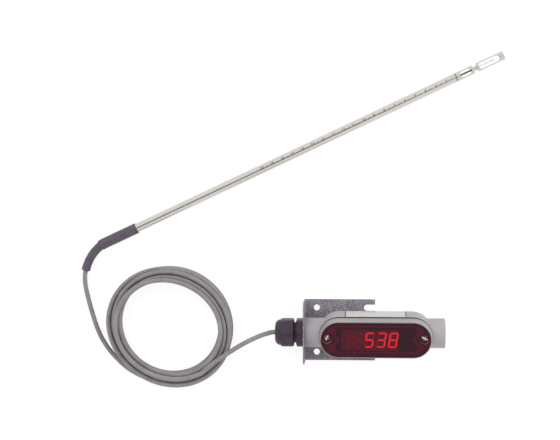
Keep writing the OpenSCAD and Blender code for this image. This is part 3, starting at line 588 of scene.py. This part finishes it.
# The coil: its turns lie side by side in layers, and each layer runs the other way across the last one
COIL_X, COIL_Y = -154.5, 1.8
COIL_R = 54.6
COIL_PITCH = 4.8
COIL_START = 250
COIL_TURNS = 8.144
# How many turns a layer has, and over how much of a turn the cable climbs to the next layer
LAYER = 2.39
CLIMB = 0.5
# How much the whole coil is drawn out, and along which angle
OVAL, OVAL_ANGLE = 2.2, -22
# How far each layer lies from the coil's middle, in X and Y, and how much it is drawn out along which angle
SLACK = [(0.6, 1.9, 0.9, 75), (-0.9, 1.6, 0.9, 20), (0.9, 0.7, 1.0, 120), (0.3, 0.3, 0.7, -22)]


def turns_in(t):
    """How many turns lie between the coil's outside and the cable after t turns."""
    m = t - 2 * LAYER * floor(t / (2 * LAYER))
    d = min(m, 2 * LAYER - m)
    half = CLIMB / 2
    if d < half and t > LAYER:
        return half / 2 + d * d / CLIMB
    if d > LAYER - half:
        return LAYER - half / 2 - (LAYER - d) ** 2 / CLIMB
    return d


def coil_point(t):
    """The cable's middle after t turns of the coil."""
    a = radians(COIL_START + 360 * t)
    layers = sum(ease((t - n * LAYER) / CLIMB + 0.5) for n in (1, 2, 3))
    r = COIL_R - COIL_PITCH * turns_in(t) + OVAL * cos(2 * (a - radians(OVAL_ANGLE)))
    dx = dy = 0.0
    for n, (x, y, draw, angle) in enumerate(SLACK):
        share = max(0.0, 1 - abs(layers - n))
        dx, dy = dx + share * x, dy + share * y
        r += share * draw * cos(2 * (a - radians(angle)))
    return Vector((COIL_X + dx + r * cos(a), COIL_Y + dy + r * sin(a), CABLE_R + COIL_PITCH * layers))


def coil_way(t):
    """The cable's level direction after t turns."""
    near = 0.002
    d = coil_point(t + near) - coil_point(t - near)
    return Vector((d.x, d.y, 0)).normalized()


def smooth_through(points):
    """A smooth curve through the given points, kept on or above the floor."""
    steps = 5
    ends = [2 * points[0] - points[1]] + list(points) + [2 * points[-1] - points[-2]]
    out = []
    for a, b, c, d in zip(ends, ends[1:], ends[2:], ends[3:]):
        for k in range(steps):
            t = k / steps
            out.append(0.5 * ((2 * b) + (c - a) * t + (2 * a - 5 * b + 4 * c - d) * t * t
                              + (3 * b - a - 3 * c + d) * t ** 3))
    out.append(points[-1])
    return [Vector((p.x, p.y, max(p.z, CABLE_R))) for p in out]


PROBE_ROUTE = [(-232, 40, 3.8), (-230, 29, 2.6), (-227, 17, 2.1), (-223, 4, 2.1),
               (-218, -8, 2.1), (-211, -19, 2.1), (-203, -28, 2.1), (-194, -36, 2.1)]
GLAND_ROUTE = [(-118, -31.6, 16.5), (-108, -24.3, 16.4), (-98, -17.6, 16.6), (-88, -11.4, 17.6),
               (-79, -6.6, 19), (-71, -3, 20.4), (-65, -1, 21.1)]
# The cable is straight from just outside the gland's nut to its end in the housing
STRAIGHT_FROM, STRAIGHT_TO = FLANGE_X - 26.7, BODY_X - 38.05
STRAIGHT_STEPS = 5
STEPS_A_TURN = 72

first_way, last_way = coil_way(0), coil_way(COIL_TURNS)
coil_first = coil_point(0) - CABLE_D * first_way
coil_last = coil_point(COIL_TURNS) + CABLE_D * last_way
coil_steps = round(COIL_TURNS * STEPS_A_TURN)
coil_line = [coil_point(i * COIL_TURNS / coil_steps) for i in range(coil_steps + 1)]
straight = [Vector((STRAIGHT_FROM + (STRAIGHT_TO - STRAIGHT_FROM) * s / STRAIGHT_STEPS, 0, HUB_H))
            for s in range(STRAIGHT_STEPS + 1)]
lead_line = smooth_through(
    [boot_end, boot_end + CABLE_D * exit_way] + [Vector(p) for p in PROBE_ROUTE]
    + [coil_first - 2 * CABLE_D * first_way, coil_first, coil_point(0)])
housing_line = smooth_through(
    [coil_point(COIL_TURNS), coil_last] + [Vector(p) for p in GLAND_ROUTE] + straight)
cable_line = lead_line[:-1] + coil_line + housing_line[1:]
cable = piece("probe_cable", swept(cable_line, lambda s, a: CABLE_R, 16), "base", "cable_grey",
              replaces=("cable_probe_lead", "cable_coil", "cable_housing_lead"))


# Boot: a heat-shrunk sleeve that steps down from the tube to the cable

BOOT_WIDE, BOOT_SLIM = 4.8, 3.95
BOOT_STEP, STEP_LONG = 36.0, 1.5
# The rounded edge on the tube, and the lip round the cable
EDGE_LONG, EDGE_DEEP = 0.5, 0.3
LIP_FROM, LIP_LONG, LIP_DEEP = 63.0, 0.7, 0.5
# Creases across the bend, deepest on its outer side, and a slower wave. PACE is in radians per millimetre
CREASES_FROM, CREASES_TO, CREASE_FADE = 38, 61, 5
CREASE_DEEP, CREASE_PACE = 0.2, 1.35
WAVE_DEEP, WAVE_FADE, WAVE_PACE = 0.08, 4, 0.9


def boot_radius(s, a):
    """Radius after s millimetres from the boot's edge, at the angle a round the boot."""
    r = BOOT_WIDE + (BOOT_SLIM - BOOT_WIDE) * ease((s - BOOT_STEP) / STEP_LONG)
    edge = min(1.0, s / EDGE_LONG)
    r -= EDGE_DEEP * (1 - (1 - (1 - edge) ** 2) ** 0.5)
    creased = ease((s - CREASES_FROM) / CREASE_FADE) * ease((CREASES_TO - s) / CREASE_FADE)
    r -= CREASE_DEEP * creased * (0.5 + 0.5 * cos(s * CREASE_PACE)) * (0.5 + 0.5 * cos(a))
    r -= WAVE_DEEP * ease((s - BOOT_STEP) / WAVE_FADE) * (0.5 + 0.5 * sin(s * WAVE_PACE + 2 * a))
    return r - LIP_DEEP * ease((s - LIP_FROM) / LIP_LONG) ** 2


# Places along the boot's straight part, close together at its rounded edge and before the bend
BOOT_PLACES = [0.02, 0.06, 0.15, 0.3, 0.5] + [1.5 + i for i in range(0, 28, 3)] + [30, 31, 32, 33, 33.4]
BEND_STEPS = 80
boot_line = [PROBE_AT - PROBE_WAY * s for s in BOOT_PLACES]
boot_line += [boot_bend(BOOT_BEND * b / BEND_STEPS) for b in range(BEND_STEPS + 1)]
piece("boot_sleeve", swept(boot_line, boot_radius, 40), "base", "boot_sleeve",
      replaces=("heat_shrink_boot",), crease=50)


# Bracket: one bent sheet, its inner and outer bend rounded

SHEET_T = 1.2
SHEET_EDGE = 0.12
BEND_R = 2.2
PLATE_Y = 27.5
PLATE_RIGHT = 29.75
HOLE_X, HOLE_Y, HOLE_R = -22.5, 20, 2.75
SLOT_X, SLOT_R = 22.5, 2.8
FLANGE_TOP = 38
FLANGE_CORNER = 10
GLAND_HOLE_R = 10.22
# The flange's frame has its X upwards and its Z along the hubs' axis
FLANGE = MM @ moved(FLANGE_X, 0, 0) @ Matrix(((0, 0, 1, 0), (0, 1, 0, 0), (1, 0, 0, 0), (0, 0, 0, 1)))


def plate_outline():
    """The plate up to its bend, with the two open slots in its free edge."""
    left = FLANGE_X + BEND_R
    slot = ([(PLATE_RIGHT, HOLE_Y - SLOT_R)] + arc(SLOT_X, HOLE_Y, SLOT_R, 270, 90)
            + [(PLATE_RIGHT, HOLE_Y + SLOT_R)])
    mirrored = [(x, -y) for x, y in reversed(slot)]
    corners = [(PLATE_RIGHT, PLATE_Y), (left, PLATE_Y), (left, -PLATE_Y), (PLATE_RIGHT, -PLATE_Y)]
    return corners + mirrored + slot


def flange_outline():
    """The flange from its bend up, with round upper corners."""
    x, y = FLANGE_TOP - FLANGE_CORNER, PLATE_Y - FLANGE_CORNER
    return ([(BEND_R, PLATE_Y), (BEND_R, -PLATE_Y)] + arc(x, -y, FLANGE_CORNER, -90, 0)
            + arc(x, y, FLANGE_CORNER, 0, 90))


def bend_section(y, steps=8):
    """The bend's section at one side of the bracket: the outer quarter circle, then the inner one back."""
    outer = [(BEND_R, k) for k in range(steps + 1)]
    inner = [(BEND_R - SHEET_T, k) for k in range(steps, -1, -1)]
    return [(FLANGE_X + BEND_R - r * cos(pi / 2 * k / steps), y, BEND_R - r * sin(pi / 2 * k / steps))
            for r, k in outer + inner]


bend = bmesh.new()
capped(bend, [add_ring(bend, bend_section(y)) for y in (PLATE_Y, -PLATE_Y)])
plate = sheet([plate_outline(), disc(HOLE_X, HOLE_Y, HOLE_R), disc(HOLE_X, -HOLE_Y, HOLE_R)],
              0, SHEET_T, SHEET_EDGE, MM)
flange = sheet([flange_outline(), disc(HUB_H, 0, GLAND_HOLE_R, 56)], 0, SHEET_T, SHEET_EDGE, FLANGE)
piece("bent_bracket", joined(plate, flange, mesh_of(bend, MM)), "base", ("zinc_sheet",) * 3,
      ("mounting_bracket",))


# Gland: hexagons with turned corners, a domed nut and a threaded stem

HEX_FLATS = 12.0
HEX_TURN = radians(-7)
# The higher HEX_SHARP is, the sharper the edge between a flat and the turned corner beside it
HEX_SHARP = 70
STEM_R = 9.62
THREAD_R, THREAD_CORE = 9.38, 8.85
THREAD_FROM, THREAD_PITCH, THREAD_TURNS = 6.7, 1.5, 7


def hexagon(r, a):
    """The radius at an angle: round up to the stem, and cut by six flats beyond it."""
    if r <= STEM_R:
        return r
    flat = HEX_FLATS / cos((a - HEX_TURN) % (pi / 3) - pi / 6)
    return (r ** -HEX_SHARP + flat ** -HEX_SHARP) ** (-1 / HEX_SHARP)


def hex_turned(rows):
    """A closed ring about the gland's axis from (radius, height) pairs, with flats on its wide parts."""
    bm = bmesh.new()
    bridge(bm, turned_rings(bm, rows, 144, HEX_TURN, hexagon), closed=True)
    return mesh_of(bm, GLAND)


def cone(r_from, r_to, z_from, z_to, steps=5):
    """(radius, height) pairs along a straight slope."""
    return [(r_from + (r_to - r_from) * k / steps, z_from + (z_to - z_from) * k / steps)
            for k in range(steps + 1)]


nut_hexagon = cone(10.9, 12.9, 8.1, 9.0) + [(12.8, 9.4), (12.8, 18.8), (12.6, 19.2), (12.2, 19.5)]
nut_dome = [(11.7, 19.65), (11.5, 19.9), (11.4, 20.8), (11.1, 21.8), (10.6, 22.8), (9.9, 23.7),
            (9.0, 24.4), (7.9, 24.8), (6.6, 25.0), (4.5, 25.0)]
nut_bore = [(4.2, 24.9), (3.6, 24.5), (3.25, 24.2), (3.2, 23.1), (7.2, 23.1), (9.48, 18.6), (9.48, 8.1)]
piece("domed_nut", hex_turned(nut_hexagon + nut_dome + nut_bore), "clamping_nut", "black_nylon",
      replaces=("gland_nut",), crease=28)

body_stem = [(7.0, -14.5), (9.3, -14.5), (9.6, -14.2), (9.6, 0), (10.4, 0), (10.4, 1), (11.4, 1), (11.4, 0)]
body_hexagon = [(12.3, 0), (12.8, 0.4), (12.8, 5.2)] + cone(12.9, 10.9, 5.4, 6.3) + [(THREAD_R, 6.3)]
one_thread = [(THREAD_R, 0), (THREAD_R, 0.25), (THREAD_CORE, 0.65), (THREAD_CORE, 0.95)]
body_thread = [(r, THREAD_FROM + THREAD_PITCH * i + z)
               for i in range(THREAD_TURNS) for r, z in one_thread]
body_end = [(9.2, 17.6), (8.9, 18.0), (7.0, 18.0)]
piece("threaded_gland", hex_turned(body_stem + body_hexagon + body_thread + body_end), "base",
      "black_nylon", replaces=("gland_body",), crease=28)


# Cover: the lens, the print behind it and the screws

LENS_SPAN, LENS_R = 64.5, 15.25
LENS_WELL_R = 4.3
LENS_BACK, LENS_FRONT, LENS_EDGE = 22.08, 25, 0.25
# The field of the mask and the print on it are two thin films
FIELD_H, PRINT_H, FILM_T = 22.0, 22.02, 0.03
FRAME_X1, FRAME_X2, FRAME_Y1, FRAME_Y2 = -35.3, 35.7, -11.4, 11.5
FRAME_DIP_R = 2.9
HALF_LINE = 0.25
READOUT = (-5.25, -0.6, 50, 19.2)
MARK_CORNERS = [(37.2, 3.8), (41.6, 7.4), (37.2, 11.1)]
MARK_MIDDLE = (38.5, 7.4)
# A corner mark is the band between its full size and this share of it
MARK_INSIDE = 0.62

lens_holes = [disc(-SCREW_X, 0, LENS_WELL_R), disc(SCREW_X, 0, LENS_WELL_R)]
lens = sheet([stadium(LENS_SPAN, LENS_R)] + lens_holes, LENS_BACK, LENS_FRONT, LENS_EDGE, HOUSING)
piece("red_window", lens, "cover", "red_lens", replaces=("lens_window",))


def frame_line(grow):
    """The printed frame round the readout, with a half-round dip at each end, moved out by grow."""
    x1, x2, y1, y2 = FRAME_X1 - grow, FRAME_X2 + grow, FRAME_Y1 - grow, FRAME_Y2 + grow
    dip = FRAME_DIP_R - grow
    return ([(x1, y1), (x2, y1)] + arc(x2, 0, dip, 270, 90, 16) + [(x2, y2), (x1, y2)]
            + arc(x1, 0, dip, 90, -90, 16))


def corner_mark(side, up, share):
    """A triangle between the frame and the round end of the lens, drawn at a share of its size."""
    mx, my = MARK_MIDDLE
    points = [(side * (mx + share * (x - mx)), up * (my + share * (y - my))) for x, y in MARK_CORNERS]
    return points if side * up > 0 else points[::-1]


print_lines = [frame_line(HALF_LINE), frame_line(-HALF_LINE)]
for side in (-1, 1):
    for up in (-1, 1):
        print_lines += [corner_mark(side, up, 1), corner_mark(side, up, MARK_INSIDE)]
field_lines = [frame_line(-HALF_LINE), rectangle(*READOUT)]
piece("mask_print", sheet(print_lines, PRINT_H, PRINT_H + FILM_T, 0, HOUSING),
      "cover", "print_red")
piece("mask_field", sheet(field_lines, FIELD_H, FIELD_H + FILM_T, 0, HOUSING),
      "cover", "field_black")

SCREW_ROWS = [(0.01, 18.75), (0.5, 18.7), (1.0, 18.57), (1.6, 18.38), (2.2, 18.12), (2.7, 17.75),
              (3.05, 17.2), (3.15, 16.8), (3.12, 16.5), (3.0, 16.4), (1.9, 16.4), (1.9, 6.4), (1.5, 6.0),
              (0.01, 6.0)]
SLOT_H = 18.4
SLOT_SIZE = (8, 0.95, 1.9, 1)


def slotted_screw(x, turn):
    """A pan-head screw with a slot, in the housing's frame."""
    solid = bmesh.new()
    capped(solid, turned_rings(solid, SCREW_ROWS, 48))
    slot = bmesh.new()
    slot_place = Matrix.Rotation(radians(turn), 4, "Z") @ moved(0, 0, SLOT_H) @ Matrix.Diagonal(SLOT_SIZE)
    bmesh.ops.create_cube(slot, size=1, matrix=slot_place)
    made = cut(mesh_of(solid, Matrix.Identity(4)), mesh_of(slot, Matrix.Identity(4)))
    made.transform(HOUSING @ moved(x, 0, 0))
    return made


piece("pan_head_screws", joined(slotted_screw(-SCREW_X, 62), slotted_screw(SCREW_X, -28)),
      "cover", ("bright_steel",) * 2, ("cover_screws",), crease=30)


# Blank label with a dark edge at each end, on the housing's side

HALF_BODY = 18.0
LABEL_W, LABEL_H, LABEL_T = 51.8, 19.1, 0.3
LABEL_EDGE_X, LABEL_EDGE_W, LABEL_EDGE_T = 26.3, 0.8, 0.28
LABEL_MIDDLE = 4.15
LABEL_ROUND = 0.05
# The label's frame has its Y upwards and its Z out of the housing's side
LABEL = HOUSING @ Matrix(((1, 0, 0, 0), (0, 0, 1, 0), (0, 1, 0, 0), (0, 0, 0, 1)))


def label_part(x, w, t):
    return sheet([rectangle(x, LABEL_MIDDLE, w, LABEL_H)], HALF_BODY, HALF_BODY + t, LABEL_ROUND, LABEL)


piece("blank_label", joined(label_part(0, LABEL_W, LABEL_T),
                            label_part(-LABEL_EDGE_X, LABEL_EDGE_W, LABEL_EDGE_T),
                            label_part(LABEL_EDGE_X, LABEL_EDGE_W, LABEL_EDGE_T)),
      "housing", ("label_white", "label_edge", "label_edge"), ("rating_label",))


# Probe tube, and its printed depth scale in centimetres

TUBE_R, TUBE_LONG = 3.97, 314.7
TUBE_BORE = 3.47
TUBE_EDGE = 0.1
# The tube runs on inside the boot, a little slimmer
SPIGOT_R, SPIGOT_LONG = 3.77, 26
tube_rows = [(TUBE_BORE, -SPIGOT_LONG), (SPIGOT_R, -SPIGOT_LONG), (SPIGOT_R, -0.2), (TUBE_R, 0),
             (TUBE_R, TUBE_LONG - TUBE_EDGE), (TUBE_R - TUBE_EDGE, TUBE_LONG), (TUBE_BORE, TUBE_LONG)]
tube = bmesh.new()
bridge(tube, turned_rings(tube, tube_rows, 96), closed=True)
piece("steel_tube", mesh_of(tube, PROBE), "base", "probe_steel", replaces=("probe_tube",), crease=25)

# Each digit's strokes, in a box one unit high
STROKES = {
    "0": [loop(0.3, 0.5, 0.27, 0.5, 0, 360)],
    "1": [[(0.12, 0.78), (0.34, 1), (0.34, 0)]],
    "2": [loop(0.3, 0.72, 0.27, 0.28, 165, -35) + [(0.03, 0), (0.6, 0)]],
    "3": [loop(0.28, 0.75, 0.24, 0.25, 150, -80) + loop(0.28, 0.26, 0.29, 0.26, 80, -150)],
    "4": [[(0.44, 0), (0.44, 1), (0, 0.3), (0.62, 0.3)]],
    "5": [[(0.55, 1), (0.12, 1), (0.07, 0.55)] + loop(0.28, 0.31, 0.29, 0.31, 125, -145)],
    "6": [[(0.48, 1), (0.16, 0.68)] + loop(0.3, 0.3, 0.28, 0.3, 150, 510)],
    "7": [[(0.02, 1), (0.6, 1), (0.22, 0)]],
    "8": [loop(0.3, 0.75, 0.23, 0.25, -90, 270), loop(0.3, 0.25, 0.28, 0.25, 90, 450)],
    "9": [[(0.12, 0), (0.44, 0.32)] + loop(0.3, 0.7, 0.28, 0.3, -30, -390)],
}
# A number stands at every centimetre and a dash halfway between two, which is wider near the boot.
# V is measured across the tube from its top line
SCALE_ZERO = 325.5
SCALE_FIRST, SCALE_LAST = 2, 20
SCALE_V = 0.75
DIGIT_H = 2.1
DIGIT_STEP, DIGIT_SHIFT = 0.85 * DIGIT_H, 0.2
STROKE_W = 0.4
DASH_V, HALF_DASH = SCALE_V - 0.7, 1.1
WIDE_DASH_FROM, WIDE_DASH_W = 18, 0.6
INK_LOW, INK_HIGH = TUBE_R - 0.02, TUBE_R + 0.015
INK_STEP = 0.2


def ribbon(bm, line, width):
    """A printed stroke wrapped on the tube: points are (along the tube, up across it) in millimetres."""
    fine = [line[0]]
    for a, b in zip(line, line[1:]):
        n = max(1, ceil(hypot(b[0] - a[0], b[1] - a[1]) / INK_STEP))
        fine += [(a[0] + (b[0] - a[0]) * k / n, a[1] + (b[1] - a[1]) * k / n) for k in range(1, n + 1)]
    sides = []
    for i, (u, v) in enumerate(fine):
        before, after = fine[max(i - 1, 0)], fine[min(i + 1, len(fine) - 1)]
        du, dv = after[0] - before[0], after[1] - before[1]
        long = hypot(du, dv) or 1
        nu, nv = -dv / long * width / 2, du / long * width / 2
        pair = []
        for pu, pv in ((u + nu, v + nv), (u - nu, v - nv)):
            turn = pv / TUBE_R
            pair.append(add_ring(bm, [(-r * cos(turn), r * sin(turn), pu) for r in (INK_LOW, INK_HIGH)]))
        sides.append(pair)
    for (a, b), (c, d) in zip(sides, sides[1:]):
        for quad in ((a[1], b[1], d[1], c[1]), (a[0], c[0], d[0], b[0]), (a[0], a[1], c[1], c[0]),
                     (b[0], d[0], d[1], b[1])):
            bm.faces.new(quad)
    for a, b in (sides[0], sides[-1]):
        bm.faces.new((a[0], b[0], b[1], a[1]))


marks = bmesh.new()
for number in range(SCALE_FIRST, SCALE_LAST + 1):
    mark = SCALE_ZERO - 10 * number
    text = str(number)
    for i, letter in enumerate(text):
        left = mark - DIGIT_STEP * len(text) / 2 + DIGIT_STEP * i + DIGIT_SHIFT
        for line in STROKES[letter]:
            ribbon(marks, [(left + u * DIGIT_H, SCALE_V + (v - 0.5) * DIGIT_H) for u, v in line], STROKE_W)
    middle = mark + 5
    dash_w = WIDE_DASH_W if number >= WIDE_DASH_FROM else STROKE_W
    ribbon(marks, [(middle - HALF_DASH, DASH_V), (middle + HALF_DASH, DASH_V)], dash_w)
piece("depth_scale", mesh_of(marks, PROBE), "base", "scale_ink")


# CAD nodes that stay: finishes, and their edges broken

KEPT = {
    "cast_paint": ["conduit_body"],
    "cover_paint": ["cover_bezel"],
    "black_rubber": ["body_gasket", "lens_gasket", "gland_o_ring", "gland_seal", "tube_plug"],
    "mask_black": ["display_mask"],
    "brass_posts": ["lower_standoffs", "upper_standoffs"],
    "board_green": ["main_board", "display_board"],
    "bright_steel": ["board_screws", "terminal_screws", "ground_screw"],
    "display_case": ["led_display"],
    "led_lit": ["lit_segments"],
    "led_dim": ["dim_segments"],
    "black_plastic": ["switch_bases", "board_link", "power_converter", "controller_chip", "driver_chips"],
    "key_plastic": ["button_set", "button_up", "button_down"],
    "terminal_green": ["terminal_block"],
    "header_ivory": ["cable_header"],
    "wire_sheath": ["sensor_wires", "probe_wires"],
    "capacitor_can": ["capacitors"],
    "black_nylon": ["gland_claw"],
    "cable_grey": ["cable_tail"],
    "head_steel": ["tip_body"],
    "dark_ring": ["seam_ring"],
    "ceramic": ["sensor_seat"],
    "dark_sensor": ["temperature_sensor"],
    "film_sensor": ["velocity_sensor"],
}
# How wide each node's edges are broken, in millimetres
EDGES = {"conduit_body": 0.5, "cover_bezel": 0.25, "tip_body": 0.12, "terminal_block": 0.2,
         "power_converter": 0.3, "capacitors": 0.4, "cable_header": 0.2, "led_display": 0.2,
         "main_board": 0.1, "display_board": 0.1}
for finish, nodes in KEPT.items():
    for name in nodes:
        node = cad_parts[name]
        node.data.materials.clear()
        node.data.materials.append(FINISHES[finish])
        if name in EDGES:
            weld = node.modifiers.new("weld", "WELD")
            weld.merge_threshold = 1e-6
            bevel = node.modifiers.new("edges", "BEVEL")
            bevel.width = EDGES[name] / 1000
            bevel.segments = 3
            bevel.limit_method = "ANGLE"
            bevel.angle_limit = radians(32)
            bevel.harden_normals = True


# Floor, background and lamps, with lengths in metres

WHITE = (1, 1, 1, 1)
FLOOR_HALF = 3
FLOOR_DROP = 0.0003


def seen_white(tree):
    """1 for rays that show the background, 0 for rays that only light the object."""
    path = tree.nodes.new("ShaderNodeLightPath")
    total = path.outputs["Is Camera Ray"]
    for name in ("Is Glossy Ray", "Is Transmission Ray"):
        most = tree.nodes.new("ShaderNodeMath")
        most.operation = "MAXIMUM"
        tree.links.new(total, most.inputs[0])
        tree.links.new(path.outputs[name], most.inputs[1])
        total = most.outputs[0]
    return total


def card(name, half, material):
    """A flat square in XY, with half its side given."""
    bm = bmesh.new()
    bmesh.ops.create_grid(bm, x_segments=1, y_segments=1, size=half)
    mesh = bpy.data.meshes.new(name)
    bm.to_mesh(mesh)
    bm.free()
    mesh.materials.append(material)
    made = bpy.data.objects.new(name, mesh)
    scene.collection.objects.link(made)
    return made


world = bpy.data.worlds.new("studio")
scene.world = world
world.use_nodes = True
sky = world.node_tree
dim = sky.nodes["Background"]
bright = sky.nodes.new("ShaderNodeBackground")
for background, strength in ((dim, 0.68), (bright, 1.0)):
    background.inputs["Color"].default_value = WHITE
    background.inputs["Strength"].default_value = strength
choice = sky.nodes.new("ShaderNodeMixShader")
sky.links.new(seen_white(sky), choice.inputs[0])
sky.links.new(dim.outputs[0], choice.inputs[1])
sky.links.new(bright.outputs[0], choice.inputs[2])
sky.links.new(choice.outputs[0], sky.nodes["World Output"].inputs["Surface"])

# The floor lights the object as grey paper, and is seen as a glowing sheet that still takes a soft shadow
paper = Finish("floor_paper", (0.8, 0.8, 0.8, 1), 0.9)
lift = paper.node("ShaderNodeEmission")
lift.inputs["Strength"].default_value = 0.87
soft = paper.node("ShaderNodeBsdfDiffuse")
soft.inputs["Color"].default_value = (0.2, 0.2, 0.2, 1)
both = paper.node("ShaderNodeAddShader")
paper.link(soft.outputs[0], both.inputs[0])
paper.link(lift.outputs[0], both.inputs[1])
whole = paper.node("ShaderNodeMixShader")
paper.link(seen_white(paper.tree), whole.inputs[0])
paper.link(paper.shader.outputs[0], whole.inputs[1])
paper.link(both.outputs[0], whole.inputs[2])
paper.link(whole.outputs[0], paper.tree.nodes["Material Output"].inputs["Surface"])
floor_plane = card("floor", FLOOR_HALF, paper.made)
floor_plane.location = (0, 0, -FLOOR_DROP)


def lamp(name, at, aim, size, power):
    """A square lamp that lights the object and isn't seen in reflections."""
    data = bpy.data.lights.new(name, "AREA")
    data.size = size
    data.energy = power
    made = bpy.data.objects.new(name, data)
    scene.collection.objects.link(made)
    made.matrix_world = look(Vector(at), Vector(aim))
    made.visible_glossy = False


lamp("key", (-0.9, 1.0, 1.6), (-0.05, 0.1, 0), 1.2, 11)
lamp("side", (0.85, 0.25, 0.5), (0.05, 0.0, 0.02), 0.5, 3.2)

# A dark flag above the camera, seen only in reflections: it draws the dark line along the steel tube
FLAG_LONG, FLAG_WIDE = 1.18, 0.94
ACROSS = Vector((-sin(PROBE_ANGLE), cos(PROBE_ANGLE), 0))
FLAG_AT = Vector((-0.05, 0.15, 1.7)) - 0.14 * ACROSS - 0.26 * PROBE_WAY
felt = Finish("flag_felt", rgb(112, 92, 118), 0.9)
felt.mottled(20, 1.1, 0.9)
flag = card("flag", 0.5, felt.made)
flag.matrix_world = (Matrix.Translation(FLAG_AT) @ Matrix.Rotation(PROBE_ANGLE, 4, "Z")
                     @ Matrix.Diagonal((FLAG_LONG, FLAG_WIDE, 1, 1)))
for rays in ("camera", "diffuse", "transmission", "shadow"):
    setattr(flag, "visible_" + rays, False)

scene.view_settings.view_transform = "Standard"
